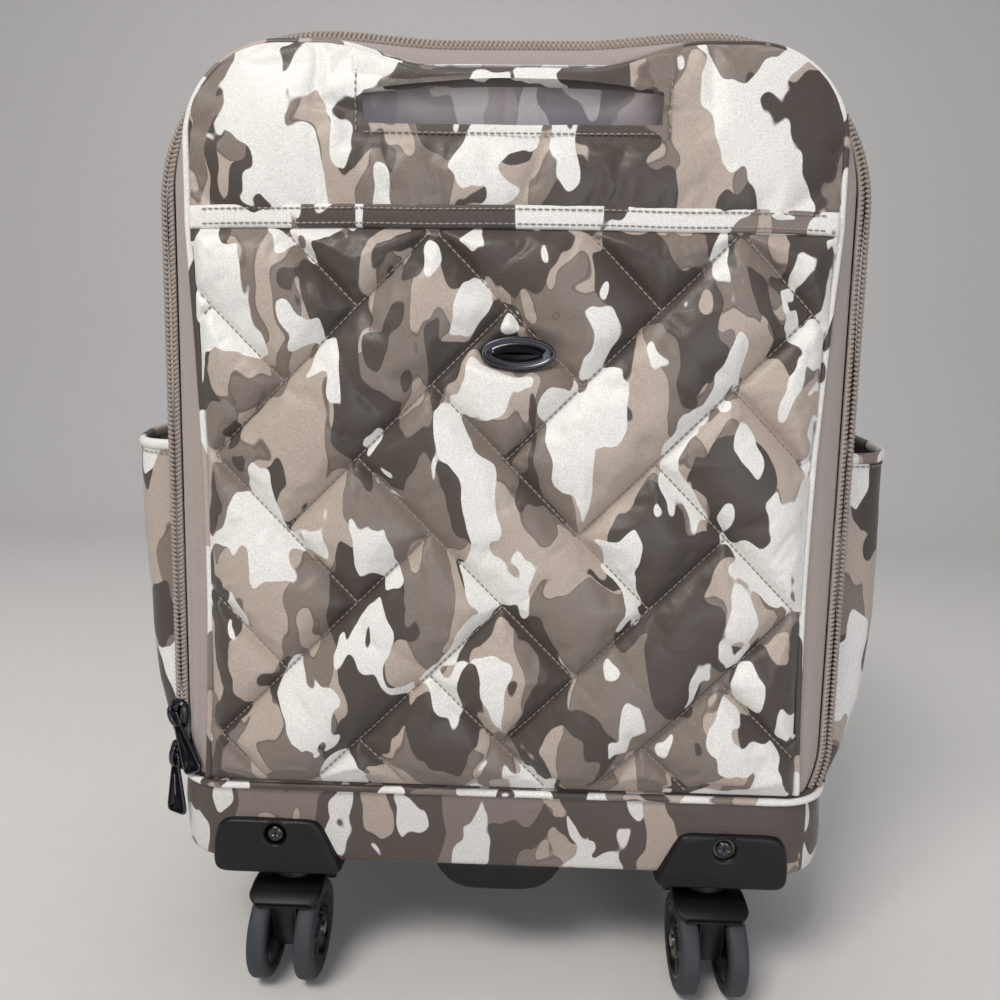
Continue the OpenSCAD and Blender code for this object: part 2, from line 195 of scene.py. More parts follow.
def ripples(u, v, seed, waves, longest, shortest, stretch=1.0):
    # a sum of sine waves in random directions, each as high as it is long; about -1 to 1
    rng = np.random.default_rng(seed)
    total = np.zeros(np.broadcast(u, v).shape)
    weight = 0.0
    for length in np.geomspace(longest, shortest, waves):
        angle, phase = rng.uniform(0, math.pi), rng.uniform(0, 2 * math.pi)
        total = total + length * np.sin(2 * math.pi * (u * math.cos(angle) + v * stretch * math.sin(angle))
                                        / length + phase)
        weight += length * length
    return total / math.sqrt(weight * 0.5) * 0.5


def scatter(shape, faces, origins, axes):
    # copies of one small shape: point = origin + x * axis0 + y * axis1 + z * axis2
    points = origins[:, None] + np.einsum("kc,ncd->nkd", shape, axes)
    step = np.arange(len(origins))[:, None, None] * len(shape)
    return points.reshape(-1, 3), (faces[None] + step).reshape(-1, faces.shape[1])


def capsule(length, radius, rings=5):
    # a six-sided stitch or tooth: its radius is even in the middle and follows a fourth power curve to each end
    along = np.linspace(-1, 1, rings)
    wide = np.sqrt(np.clip(1.08 - along ** 4, 0.08, 1))
    turn = np.arange(6) * math.pi / 3
    points = combine(np.repeat(along * length / 2, 6), np.outer(wide, np.cos(turn)).ravel() * radius,
                     np.outer(wide, np.sin(turn)).ravel() * radius)
    last = 6 * (rings - 1)
    ends = np.array([[3, 2, 1, 0], [5, 4, 3, 0], [last, last + 1, last + 2, last + 3],
                     [last, last + 3, last + 4, last + 5]])
    return points, np.concatenate([gridFaces(rings, 6, wrapCols=True)[:, ::-1], ends])


def joined(*parts):
    # several (points, faces) of quads as one
    points, faces, count = [], [], 0
    for p, f in parts:
        p = np.asarray(p, float).reshape(-1, 3)
        points.append(p)
        faces.append(np.asarray(f) + count)
        count += len(p)
    return np.concatenate(points), np.concatenate(faces)


def kept(points, faces, *others):
    # the faces with only the points they use, and any per-point values that go with them
    used, again = np.unique(faces, return_inverse=True)
    return (points[used], again.reshape(faces.shape), *(o[used] for o in others))


def archOf(inset, square=0.0):
    # half width, crown height and corner radius of the outline; square makes the corners less round
    return bag["half"] - inset, bag["top"] - 0.55 * inset, bag["corner"] - 1.4 * inset - square


def dipped(x, z, dip):
    # lowered in the middle of the top by an eased hollow
    return z - dip * smooth((92 - np.abs(x)) / 62) * smooth((z - 435) / 40)


def waistOf(z):
    # half a sine wave from the foot to the pocket's mouth
    return np.sin(math.pi * np.clip((400 - z) / 340, 0, 1))


def outlinePath(inset, low, count, waist=0.0, dip=0.0, tuck=0.0, square=0.0):
    # up the left side, round a quarter circle, over the top and down again; returns points and outward
    # directions in X and Z, and the distance run
    half, top, bend = archOf(inset, square)
    turn = np.linspace(0, math.pi / 2, 80)
    x = np.concatenate([[-half], bend - half - bend * np.cos(turn), half - bend + bend * np.sin(turn), [half]])
    z = np.concatenate([[low], top - bend + bend * np.sin(turn), top - bend + bend * np.cos(turn), [low]])
    fine, _ = resample(combine(x, z), 900)
    x, z = fine.T
    z = dipped(x, z, dip)
    x = x - np.sign(x) * (waist * waistOf(z) + tuck * np.clip((140 - z) / 25, 0, 1) ** 2)
    line, run = resample(combine(x, z), count)
    ahead = unit(np.gradient(line, axis=0))
    return line, combine(-ahead[:, 1], ahead[:, 0]), np.linspace(0, run, count)


def alongOutline(line, out, profile):
    # a profile of (outwards, y) offsets carried along an outline
    profile = np.asarray(profile, float)
    if profile.ndim == 2:
        profile = np.broadcast_to(profile, (len(line),) + profile.shape)
    x = line[:, None, 0] + out[:, None, 0] * profile[..., 0]
    z = line[:, None, 1] + out[:, None, 1] * profile[..., 0]
    return combine(x, profile[..., 1], z)


def toLinear(code):
    # sRGB hex to linear RGBA
    rgb = np.array([int(code[k:k + 2], 16) for k in (1, 3, 5)]) / 255
    rgb = np.where(rgb <= 0.04045, rgb / 12.92, ((rgb + 0.055) / 1.055) ** 2.4)
    return (*rgb.tolist(), 1.0)


def addNode(tree, kind, values=None, links=None, **settings):
    # one node with its settings, socket values and links; a link takes a socket, or a node's first output
    made = tree.nodes.new("ShaderNode" + kind)
    for key, value in settings.items():
        setattr(made, key, value)
    for key, value in (values or {}).items():
        made.inputs[key].default_value = value
    for key, source in (links or {}).items():
        tree.links.new(getattr(source, "outputs", [source])[0], made.inputs[key])
    return made


def newMaterial(name, values):
    material = bpy.data.materials.new(name)
    material.use_nodes = True
    tree = material.node_tree
    shader = tree.nodes["Principled BSDF"]
    for key, value in values.items():
        shader.inputs[key].default_value = value
    return material, tree, shader


camo = {
    "blob": 31.0,            # mm, width of a printed shape
    "tall": 0.56,            # shapes are drawn out upwards
    "warp": 0.55,            # how far the outlines wander, in shapes
    "dark": "#49413b", "mid": "#7b7168", "light": "#ac9f94", "pale": "#dfddd8", "line": "#5e544c",
}


def camoSatin(name, shift, tint="#ffffff", tintBy=0.0, blob=None, crease=0.25, more=0.0, white=0.0):
    # printed polyester satin: dyed in four tones, woven so fine that it shows as a soft sheen with sparkle;
    # shift moves the pattern, more widens the dark shapes and white the pale ones
    material, tree, shader = newMaterial(name, {"Roughness": 0.46, "Specular IOR Level": 0.42,
                                                "Sheen Weight": 0.12, "Sheen Roughness": 0.4, "IOR": 1.5})
    size = 1000.0 / (blob or camo["blob"])
    where = addNode(tree, "TexCoord").outputs["Object"]
    place = addNode(tree, "Mapping", {"Location": shift, "Scale": (size, size, size * camo["tall"])},
                    {"Vector": where})
    wander = addNode(tree, "TexNoise", {"Scale": 1.15, "Detail": 1.5, "Roughness": 0.5},
                     {"Vector": place})
    centred = addNode(tree, "VectorMath", {1: (0.5, 0.5, 0.5)}, {0: wander.outputs["Color"]},
                      operation="SUBTRACT")
    pushed = addNode(tree, "VectorMath", {1: (camo["warp"] * 3,) * 3}, {0: centred},
                     operation="MULTIPLY")
    warped = addNode(tree, "VectorMath", None,
                     {0: place, 1: pushed}, operation="ADD")
    tone = None
    rows = (("mid", "light", (3.1, 7.7, 1.3), 0.50, 0.95), ("", "dark", (11.9, 2.3, 5.1), 0.525 - more, 0.8),
            ("", "pale", (5.3, 13.1, 9.7), 0.565 - white, 0.95))
    for base, over, offset, edge, scale in rows:
        moved = addNode(tree, "VectorMath", {1: offset}, {0: warped}, operation="ADD")
        field = addNode(tree, "TexNoise",
                        {"Scale": scale, "Detail": 1.0, "Roughness": 0.42, "Distortion": 0.25},
                        {"Vector": moved})
        mask = addNode(tree, "MapRange", {1: edge - 0.004, 2: edge + 0.004},
                       {0: field}, interpolation_type="SMOOTHSTEP")
        mixed = addNode(tree, "Mix", {7: toLinear(camo[over])}, {0: mask}, data_type="RGBA")
        if tone is None:
            mixed.inputs[6].default_value = toLinear(camo[base])
        else:
            tree.links.new(tone, mixed.inputs[6])
        tone = mixed.outputs[2]
        if over == "light":
            # a darker drawn line where the two taupes meet
            near = addNode(tree, "Math", {1: edge}, {0: field}, operation="SUBTRACT")
            near = addNode(tree, "Math", None, {0: near}, operation="ABSOLUTE")
            drawn = addNode(tree, "MapRange", {1: 0.003, 2: 0.009, 3: 0.75, 4: 0.0},
                            {0: near}, interpolation_type="SMOOTHSTEP")
            lined = addNode(tree, "Mix", {7: toLinear(camo["line"])},
                            {0: drawn, 6: tone}, data_type="RGBA")
            tone = lined.outputs[2]
    # yarn grain, drawn at 0.7 mm because the real 0.1 mm yarn is too fine to show; it sets the gloss and the weave
    # bump, and in the colour it is painted sparkle
    yarn = addNode(tree, "TexNoise", {"Scale": 1400.0, "Detail": 1.0}, {"Vector": where})
    grain = addNode(tree, "MapRange", {1: 0.3, 2: 0.7, 3: 0.86, 4: 1.12}, {0: yarn})
    # painted sparkle: the printed tone scaled by 0.86 to 1.12 in fine light and dark dots
    paintedSparkle = addNode(tree, "Mix", {0: 1.0}, {6: tone, 7: grain}, data_type="RGBA",
                    blend_type="MULTIPLY")
    tinted = addNode(tree, "Mix", {0: tintBy, 7: toLinear(tint)}, {6: paintedSparkle.outputs[2]},
                     data_type="RGBA")
    tree.links.new(tinted.outputs[2], shader.inputs["Base Color"])
    gloss = addNode(tree, "MapRange", {1: 0.3, 2: 0.7, 3: 0.38, 4: 0.56}, {0: yarn})
    tree.links.new(gloss.outputs[0], shader.inputs["Roughness"])
    # soft creases of the cloth, 20 to 40 mm apart, over the yarn
    folds = addNode(tree, "TexNoise", {"Scale": 34.0, "Detail": 3.0, "Roughness": 0.55, "Distortion": 0.6},
                    {"Vector": where})
    soft = addNode(tree, "Bump", {"Strength": crease, "Distance": 0.004}, {"Height": folds})
    weave = addNode(tree, "Bump", {"Strength": 0.10, "Distance": 0.0003},
                    {"Height": yarn, "Normal": soft})
    tree.links.new(weave.outputs[0], shader.inputs["Normal"])
    return material


def wovenTape(name, colour, dark):
    # herringbone polyester tape; UV is in millimetres, along and across
    material, tree, shader = newMaterial(name, {"Roughness": 0.82, "Sheen Weight": 0.2, "IOR": 1.5})
    where = addNode(tree, "UVMap", uv_map="UVMap")
    split = addNode(tree, "SeparateXYZ", None, {0: where})
    # ribs 3.2 mm wide lean one way and then the other
    rib = addNode(tree, "Math", {1: 3.2}, {0: split.outputs["Y"]}, operation="PINGPONG")
    lean = addNode(tree, "Math", {1: 1.0}, {0: split.outputs["X"], 1: rib}, operation="ADD")
    turn = addNode(tree, "Math", {1: 2 * math.pi / 1.5}, {0: lean}, operation="MULTIPLY")
    wave = addNode(tree, "Math", None, {0: turn}, operation="SINE")
    level = addNode(tree, "MapRange", {1: -1.0, 2: 1.0}, {0: wave})
    tone = addNode(tree, "Mix", {6: toLinear(dark), 7: toLinear(colour)}, {0: level},
                   data_type="RGBA")
    tree.links.new(tone.outputs[2], shader.inputs["Base Color"])
    bump = addNode(tree, "Bump", {"Strength": 0.5, "Distance": 0.0004}, {"Height": level})
    tree.links.new(bump.outputs[0], shader.inputs["Normal"])
    return material


def plainStuff(name, colour, rough, values=None, grain=0.0, grainScale=900.0, vary=0.08):
    # one base colour with a slight drift in tone and gloss, and an optional moulded grain
    material, tree, shader = newMaterial(name, {"Roughness": rough, **(values or {})})
    where = addNode(tree, "TexCoord").outputs["Object"]
    drift = addNode(tree, "TexNoise", {"Scale": 60.0, "Detail": 3.0}, {"Vector": where})
    level = addNode(tree, "MapRange", {1: 0.3, 2: 0.7, 3: 1.0 - vary, 4: 1.0 + vary},
                    {0: drift})
    tone = addNode(tree, "Mix", {0: 1.0, 6: toLinear(colour)}, {7: level}, data_type="RGBA",
                   blend_type="MULTIPLY")
    tree.links.new(tone.outputs[2], shader.inputs["Base Color"])
    gloss = addNode(tree, "MapRange", {1: 0.3, 2: 0.7, 3: rough * 0.88, 4: min(1.0, rough * 1.12)},
                    {0: drift})
    tree.links.new(gloss.outputs[0], shader.inputs["Roughness"])
    if grain:
        pits = addNode(tree, "TexNoise", {"Scale": grainScale, "Detail": 2.0},
                       {"Vector": where})
        bump = addNode(tree, "Bump", {"Strength": grain, "Distance": 0.0003}, {"Height": pits})
        tree.links.new(bump.outputs[0], shader.inputs["Normal"])
    return material


satin = camoSatin("camoSatinPolyester", (0.0, 0.0, 0.0))
satinUpper = camoSatin("camoSatinUpper", (6.2, 3.4, 8.9), more=0.03, white=-0.012)
# painted shade: wider dark shapes and narrower pale ones make the side wall, back panel and pockets darker than the
# front
satinSideShaded = camoSatin("camoSatinSidePaintedShade", (4.3, 1.7, 2.9), more=0.03, white=-0.02)
satinBand = camoSatin("camoSatinBase", (9.1, 5.2, 0.7), tint="#5d4f4c", tintBy=0.22, more=0.02)
satinTrim = camoSatin("camoSatinTrim", (2.7, 8.8, 6.1), blob=40.0, crease=0.08, more=0.02, white=0.025)
recessSatin = camoSatin("camoSatinRecess", (7.7, 0.4, 3.8), tint="#d9d2d8", tintBy=0.45, blob=40.0,
                        crease=0.1, white=0.04)
# nylon coil: moulded filament, a little glossy
coilNylon = plainStuff("nylonCoil", "#94897f", 0.42, {"Specular IOR Level": 0.5, "IOR": 1.53}, vary=0.05)
tapeWoven = wovenTape("wovenZipTape", "#aca19a", "#8b817a")
# polyester stitching thread, twisted, with a soft shine
threadTaupe = plainStuff("polyesterThread", "#8f857c", 0.6, {"Sheen Weight": 0.2}, vary=0.1)
# inner cloth: plain-woven polyester, matt
liningCloth = plainStuff("polyesterLining", "#8d857e", 0.8, {"Sheen Weight": 0.25}, grain=0.3, grainScale=1500.0)
# moulded black nylon with a fine spark-eroded grain that dulls its shine
mouldedBlack = plainStuff("mouldedNylon", "#101012", 0.42, {"Specular IOR Level": 0.32}, grain=0.22,
                          grainScale=2200.0)
smoothBlack = plainStuff("polishedNylon", "#0d0d0f", 0.3, {"Specular IOR Level": 0.4}, grain=0.05)
# cast polyurethane tread, dull and slightly dusty
treadRubber = plainStuff("polyurethaneTread", "#34373b", 0.62, {"Specular IOR Level": 0.4}, grain=0.15,
                         grainScale=1600.0, vary=0.14)
# black nickel plating over zinc: dark mirror softened by the brushed casting under it
blackNickel = plainStuff("blackNickelPlate", "#4a4a4f", 0.24, {"Metallic": 1.0}, grain=0.05, grainScale=700.0)
anodised = plainStuff("anodisedAluminium", "#c3c5c9", 0.34, {"Metallic": 1.0}, vary=0.05)
zincSteel = plainStuff("zincPlatedSteel", "#b3b5b8", 0.32, {"Metallic": 1.0}, vary=0.07)
print("materials made")

seam = {"inset": 20.0, "waist": 6.5, "radius": 2.3, "y": bag["front"] + 1.8, "dip": 13.0, "square": 11.0,
        "low": bag["hinge"] + 0.6}
zipper = {"inset": 4.45, "y": bag["front"] + 13.25, "lean": 25.0, "dip": 4.0, "tuck": 5.0}


def seamHalf(z):
    # half width of the front at its piping, drawn in at the waist
    return bag["half"] - seam["inset"] - seam["radius"] - seam["waist"] * waistOf(z)


def acrossFront(x, z):
    # how far across the front, from 0 in the middle to 1 at the piping
    return np.clip(np.abs(x) / seamHalf(z), 0, 1)


air = {"frames": 20, "quality": 6, "mass": 0.15, "stiff": 12.0, "bend": 0.35}


def inflate(made, hold, push, grow, cap, share):
    # cloth with air behind it: held points stay, the rest swells for 20 frames, then each point's move is
    # eased towards a cap: share * move * cap * tanh(length / cap) / length
    mesh = made.data
    scene = bpy.context.scene

    def placesOf(source):
        flat = np.zeros(len(mesh.vertices) * 3)
        source.vertices.foreach_get("co", flat)
        return flat.reshape(-1, 3)

    start = placesOf(mesh)
    group = made.vertex_groups.new(name="hold")
    group.add(np.nonzero(hold)[0].tolist(), 1.0, "REPLACE")
    cloth = made.modifiers.new("air", "CLOTH")
    how = cloth.settings
    how.quality = air["quality"]
    how.mass = air["mass"]
    how.tension_stiffness = how.compression_stiffness = air["stiff"]
    how.shear_stiffness = air["stiff"] * 0.4
    how.bending_stiffness = air["bend"]
    how.vertex_group_mass = "hold"
    how.use_pressure = True
    how.uniform_pressure_force = push
    how.shrink_min = -grow
    how.effector_weights.gravity = 0.0
    cloth.point_cache.frame_start = 1
    cloth.point_cache.frame_end = air["frames"]
    for step in range(1, air["frames"] + 1):
        scene.frame_set(step)
    move = placesOf(made.evaluated_get(bpy.context.evaluated_depsgraph_get()).data) - start
    made.modifiers.remove(cloth)
    made.vertex_groups.remove(group)
    far = np.maximum(np.linalg.norm(move, axis=1, keepdims=True), 1e-9)
    limit = cap * mm
    move = move * limit * np.tanh(far / limit) / far
    mesh.vertices.foreach_set("co", (start + move * share[:, None]).ravel())
    mesh.update()
    scene.frame_set(1)


def finer(made):
    # one level of subdivision, shown and rendered alike
    step = made.modifiers.new("finer", "SUBSURF")
    step.levels = step.render_levels = 1


quilt = {"pitch": 36.5, "steps": 18, "top": quiltHigh[2] - 3.0, "low": bag["hinge"] + 1.5, "crown": 6.0,
         "seed": 8.0, "round": 5.6, "groove": 2.2,
         "push": 4.0, "grow": 0.03, "cap": 2.6}


def quiltFace(x, z):
    # the sewn surface before it puffs: flat at the piping, crowned by a cube law across and eased in from the foot
    across = acrossFront(x, z)
    rise = 0.2 + 0.8 * smooth((z - quilt["low"]) / 50)
    return bag["front"] - 1.8 - quilt["crown"] * (1 - across ** 3) * rise


def quiltSeams():
    # seams run along both diagonals of a square lattice, and which steps are sewn repeats every four rows
    found = []
    p = quilt["pitch"]
    for j in range(-2, 9):
        for i in range(-5, 8):
            if (i + j) % 2:
                continue
            row, col = j % 4, i % 4
            start = ((i - 1) * p, quilt["top"] - p * j)
            if row in (0, 3) or (row == 1 and col == 1) or (row == 2 and col == 0):
                found.append((start, (start[0] + p, start[1] - p)))
            if row in (1, 2) or (row == 0 and col == 0) or (row == 3 and col == 3):
                found.append((start, (start[0] - p, start[1] - p)))
    return np.array(found)


def makeQuilt():
    # padding that swells as 1 - exp(-distance to the nearest seam / round), with a gaussian groove at each seam
    seams = quiltSeams()
    step = quilt["pitch"] / quilt["steps"]
    x = np.arange(-79, 80) * step
    z = quilt["top"] - np.arange(-1, math.ceil((quilt["top"] - quilt["low"]) / step) + 1) * step
    gx, gz = np.meshgrid(x, z)
    near = np.full(gx.shape, 99.0)
    for a, b in seams:
        d = b - a
        t = np.clip(((gx - a[0]) * d[0] + (gz - a[1]) * d[1]) / (d @ d), 0, 1)
        near = np.minimum(near, np.hypot(gx - a[0] - t * d[0], gz - a[1] - t * d[1]))
    edge = seamHalf(gz) - np.abs(gx)
    ends = np.minimum(gz - quilt["low"], quilt["top"] - gz)
    border = np.minimum(edge, ends)
    free = np.minimum(near, np.clip(border, 0, None))
    # the badge presses the padding flat: an oval, eased over half its own size
    free = free * smooth((np.hypot((gx - 5) / 19, (gz - 339) / 9) - 0.85) / 0.7)
    puff = quilt["seed"] * (1 - np.exp(-free / quilt["round"]))
    y = quiltFace(gx, gz) - puff + quilt["groove"] * np.exp(-(near / 0.9) ** 2)
    y = y + 0.25 * ripples(gx, gz, 5, 7, 60, 12) * smooth(free / 6)
    # the foot leans back at 42 degrees to the hinge line, so that it clears the base as the lid opens
    y = np.maximum(y, bag["front"] - 0.9 * (gz - bag["hinge"]))
    points = combine(gx, y, gz).reshape(-1, 3)
    faces = gridFaces(len(z), len(x))
    faces = faces[(edge.ravel()[faces] > -1.2).all(1)]
    points, faces, hold, free = kept(points, faces, ((near < 1.1) | (border < 1.3)).ravel(), free.ravel())
    made = makePiece("quiltedPanel", points, faces, "front_lid", "camo_satin", satin,
                     replaced="quilted_pocket", outFrom=(0, 0, 250))
    inflate(made, hold, quilt["push"], quilt["grow"], quilt["cap"], 0.25 + 0.75 * smooth(free / 9))
    finer(made)
    return seams


stitch = {"length": 2.6, "pitch": 3.1, "radius": 0.42, "lift": 0.25}


def stitchRow(path, away, pitch=stitch["pitch"], lift=stitch["lift"]):
    # stitches along a line of points: (points, faces) of capsules laid end to end with small gaps
    run = np.concatenate([[0], np.cumsum(np.linalg.norm(np.diff(path, axis=0), axis=1))])
    count = max(2, int(run[-1] / pitch))
    at = (np.arange(count) + 0.5) * run[-1] / count
    centre = np.stack([np.interp(at, run, path[:, k]) for k in range(3)], 1)
    ahead = unit(np.stack([np.interp(at + 0.5, run, path[:, k]) - np.interp(at - 0.5, run, path[:, k])
                           for k in range(3)], 1))
    up = np.broadcast_to(np.asarray(away, float), (len(path), 3))
    up = unit(np.stack([np.interp(at, run, up[:, k]) for k in range(3)], 1))
    side = unit(np.cross(up, ahead))
    shape, faces = capsule(stitch["length"], stitch["radius"])
    return scatter(shape, faces, centre + up * lift, np.stack([ahead, side, up], 1))


def makeQuiltStitches(seams):
    # thread along every seam inside the panel
    rows = []
    for a, b in seams:
        t = np.linspace(0, 1, 18)[:, None]
        flat = a + (b - a) * t
        path = combine(flat[:, 0], quiltFace(flat[:, 0], flat[:, 1]) + 0.25, flat[:, 1])
        inside = (np.abs(flat[:, 0]) < seamHalf(flat[:, 1]) - 1) & (flat[:, 1] < quilt["top"] - 1)
        inside &= flat[:, 1] > quilt["low"] + 1
        if inside.sum() < 3:
            continue
        rows.append(stitchRow(path[inside], (0, -1, 0), pitch=3.05, lift=0.7))
    points, faces = joined(*rows)
    makePiece("quiltStitches", points, faces, "front_lid", "camo_binding", threadTaupe)


makeQuiltStitches(makeQuilt())
print("quilted pocket made")


upper = {"low": 393.0, "crown": 6.5, "slotHalf": 71.0, "slotLow": 445.0, "slotHigh": 459.0, "arch": 5.0,
         "push": 3.0, "grow": 0.035, "cap": 6.0}
handle = {"proud": 7.5, "deep": 9.0, "high": 478.0, "half": 76.0, "loops": 77, "around": 26}


def topOf(inset, x, dip, square=0.0):
    # height of the outline above x: flat, then a quarter circle down, less the dip in the middle
    half, top, bend = archOf(inset, square)
    past = np.clip(np.abs(x) - (half - bend), 0, bend)
    z = top - bend + np.sqrt(np.maximum(bend ** 2 - past ** 2, 0))
    return dipped(x, z, dip)


def columns(inset, middle, corner, square=0.0):
    # x values across an outline: even in the middle, by equal angles round the corners
    half, _, bend = archOf(inset, square)
    turn = np.linspace(math.pi / 2, 0, corner, endpoint=False)
    out = half - bend + bend * np.sin(turn)
    return np.concatenate([-out, np.linspace(bend - half, half - bend, middle), out[::-1]])


def upperFace(x, z):
    # the stuffed front above the pocket: crowned by power laws both ways, and lifted where the handle is
    across = acrossFront(x, z)
    roof = np.clip((topOf(seam["inset"], x, seam["dip"], seam["square"]) - z) / 60, 0, 1)
    body = upper["crown"] * (1 - across ** 4) * (1 - (1 - roof) ** 2.6)
    grip = handle["proud"] * np.clip(1 - (x / 92) ** 2, 0, 1) * np.exp(-((z - 463) / 13) ** 2) * (z > 452)
    return bag["front"] - 1.2 - body - grip


def makeUpper():
    # stuffed panel above the pocket: straight rows from the pocket's mouth to the piping, bent round the slot
    x = columns(seam["inset"] + seam["radius"] - 0.4, 112, 24, seam["square"])
    v = np.linspace(0, 1, 49)
    gx, gv = np.meshgrid(x, v)
    top = topOf(seam["inset"] + 1.5, gx, seam["dip"], seam["square"])
    low = upper["low"]
    plain = low + (top - low) * gv
    arch = upper["arch"] * np.clip(1 - (gx / upper["slotHalf"]) ** 2, 0, 1)
    va, vb = v[25], v[33]
    stepped = np.where(gv < va, low + (upper["slotLow"] - low) * gv / va,
                       np.where(gv < vb, upper["slotLow"] + (upper["slotHigh"] + arch - upper["slotLow"])
                                * (gv - va) / (vb - va),
                                upper["slotHigh"] + arch + (top - upper["slotHigh"] - arch) * (gv - vb) / (1 - vb)))
    gz = plain + (stepped - plain) * smooth((112 - np.abs(gx)) / 30)
    y = upperFace(gx, gz) - 0.8 * ripples(gx, gz, 11, 7, 90, 22, 0.7) * smooth(gv * (1 - gv) * 8)
    points = combine(gx, y, gz).reshape(-1, 3)
    faces = gridFaces(len(v), len(x))
    inSlot = (np.abs(gx) < upper["slotHalf"]) & (gv > va - 1e-6) & (gv < vb + 1e-6)
    hole = inSlot.ravel()[faces].all(1)
    rim = np.isin(np.arange(gx.size), faces[hole]) & np.isin(np.arange(gx.size), faces[~hole])
    hold = rim | ((gv < 0.12) | (gv > 0.985) | (np.abs(gx) > x.max() - 0.6)).ravel()
    sewn = np.maximum(np.abs(gx) - 74.5, np.maximum(439.0 - gz, gz - 470.0))
    share = smooth(np.maximum(sewn, 0) / 9).ravel()
    points, faces, hold, share = kept(points, faces[~hole], hold, share)
    made = makePiece("upperPanel", points, faces, "front_lid", "camo_satin", satinUpper, replaced="lid_shell",
                     outFrom=(0, 0, 430))
    inflate(made, hold, upper["push"], upper["grow"], upper["cap"], share)
    finer(made)


def makeHandle():
    # a padded band over the slot: at each x a closed loop from its top seam down the front to a crease,
    # back under it and up behind
    x = np.linspace(-handle["half"], handle["half"], handle["loops"])
    taper = np.clip(1 - (x / 78) ** 2, 0.02, 1)
    crease = upper["slotHigh"] + upper["arch"] * np.clip(1 - (x / upper["slotHalf"]) ** 2, 0, 1) + 0.3
    turn = np.linspace(0, 2 * math.pi, handle["around"], endpoint=False)
    high = np.minimum(handle["high"], topOf(seam["inset"] + 2.5, x, seam["dip"], seam["square"])) - 1
    middle = (high + crease) / 2
    tall = (high - crease) / 2
    face = upperFace(x, crease + 2)
    deep = 1.2 + handle["deep"] * 0.5 * taper ** 0.6
    c, s = np.cos(turn), np.sin(turn)
    a = np.sign(s) * np.abs(s) ** 0.62
    b = np.sign(c) * np.abs(c) ** 0.75
    z = middle[:, None] + tall[:, None] * a[None]
    y = (face + deep + 0.3)[:, None] - deep[:, None] * b[None]
    y = y + 0.35 * ripples(x[:, None], z, 23, 5, 40, 12)
    points = combine(x[:, None], y, z)
    size = points.shape[:2]
    made = makePiece("grabHandle", points, gridFaces(*size, wrapCols=True), "front_lid", "camo_satin", satinUpper,
                     replaced="grab_handle", caps=endCaps(*size))
    finer(made)


recess = {"deep": 11.0, "low": 441.5, "high": 474.0, "half": 74.0, "folds": (-4.5, 15.5)}


def makeRecess():
    # lined bowl behind the slot: from the lower lip back to the wall, up it and forward under the band, with
    # two pressed folds up the wall
    x = np.linspace(-recess["half"], recess["half"], 99)
    depth = recess["deep"] * (1 - np.abs(x / recess["half"]) ** 6)
    t = np.linspace(0, 1, 22)
    z = recess["low"] + (recess["high"] - recess["low"]) * (t - 0.03 * np.sin(2 * math.pi * t))
    bowl = 1 - np.abs(2 * t - 1) ** 3.4
    gx, gz = np.meshgrid(x, z)
    y = bag["front"] + 0.4 + bowl[:, None] * depth[None]
    for centre in recess["folds"]:
        y = y - 1.3 * np.exp(-np.abs(gx - centre - 0.06 * (gz - 450)) / 1.6) * bowl[:, None]
    y = y - 0.5 * ripples(gx, gz, 31, 5, 70, 20)
    makePiece("handleRecess", combine(gx, y, gz), gridFaces(22, 99), "front_lid", "lining", recessSatin,
              replaced="handle_recess", outFrom=(0, 0, 456), solid=0.8)


makeUpper()
makeHandle()
makeRecess()
print("upper front and grab handle made")


binding = {"low": quiltHigh[2] - 3.0, "tall": 11.0, "thick": 3.0, "lift": 6.5}


def bindingFace(x):
    # the pocket's mouth, crowned by a cube law across
    return bag["front"] - 1.5 - binding["lift"] * (1 - acrossFront(x, 400.0) ** 3)


def makeBinding():
    # folded tape over the pocket's mouth: a flat round-edged loop carried from side to side
    half = float(seamHalf(402.0)) + 0.5
    x = np.linspace(-half, half, 140)
    loop = roundedRing(binding["thick"] / 2, binding["tall"] / 2, 1.3, 5)
    z = binding["low"] + binding["tall"] / 2 + 0.35 * ripples(x, 0 * x, 3, 4, 120, 40)
    y = bindingFace(x) - 0.4
    pinch = 1 + 0.12 * ripples(x, 0 * x, 8, 5, 30, 9)
    points = combine(x[:, None], y[:, None] + loop[None, :, 0] * pinch[:, None], z[:, None] + loop[None, :, 1])
    makePiece("pocketBinding", points, gridFaces(140, len(loop), wrapCols=True), "front_lid", "camo_binding",
              satinTrim, replaced="pocket_binding", caps=endCaps(140, len(loop)))
    rows = []
    for height in (2.0, 8.8):
        path = combine(x, y - binding["thick"] / 2, z - binding["tall"] / 2 + height)[3:-3]
        rows.append(stitchRow(path, (0, -1, 0)))
    path = np.linspace([-70, 0, 440.8], [70, 0, 440.8], 60)
    path[:, 1] = upperFace(path[:, 0], path[:, 2]) - 0.6
    rows.append(stitchRow(path, (0, -1, 0)))
    for side in (-1, 1):
        path = np.linspace([side * 73.4, 0, 441], [side * 73.4, 0, 474], 20)
        path[:, 1] = upperFace(path[:, 0], path[:, 2]) - 0.6
        rows.append(stitchRow(path, (0, -1, 0)))
    points, faces = joined(*rows)
    makePiece("bindingStitches", points, faces, "front_lid", "camo_binding", threadTaupe)


makeBinding()


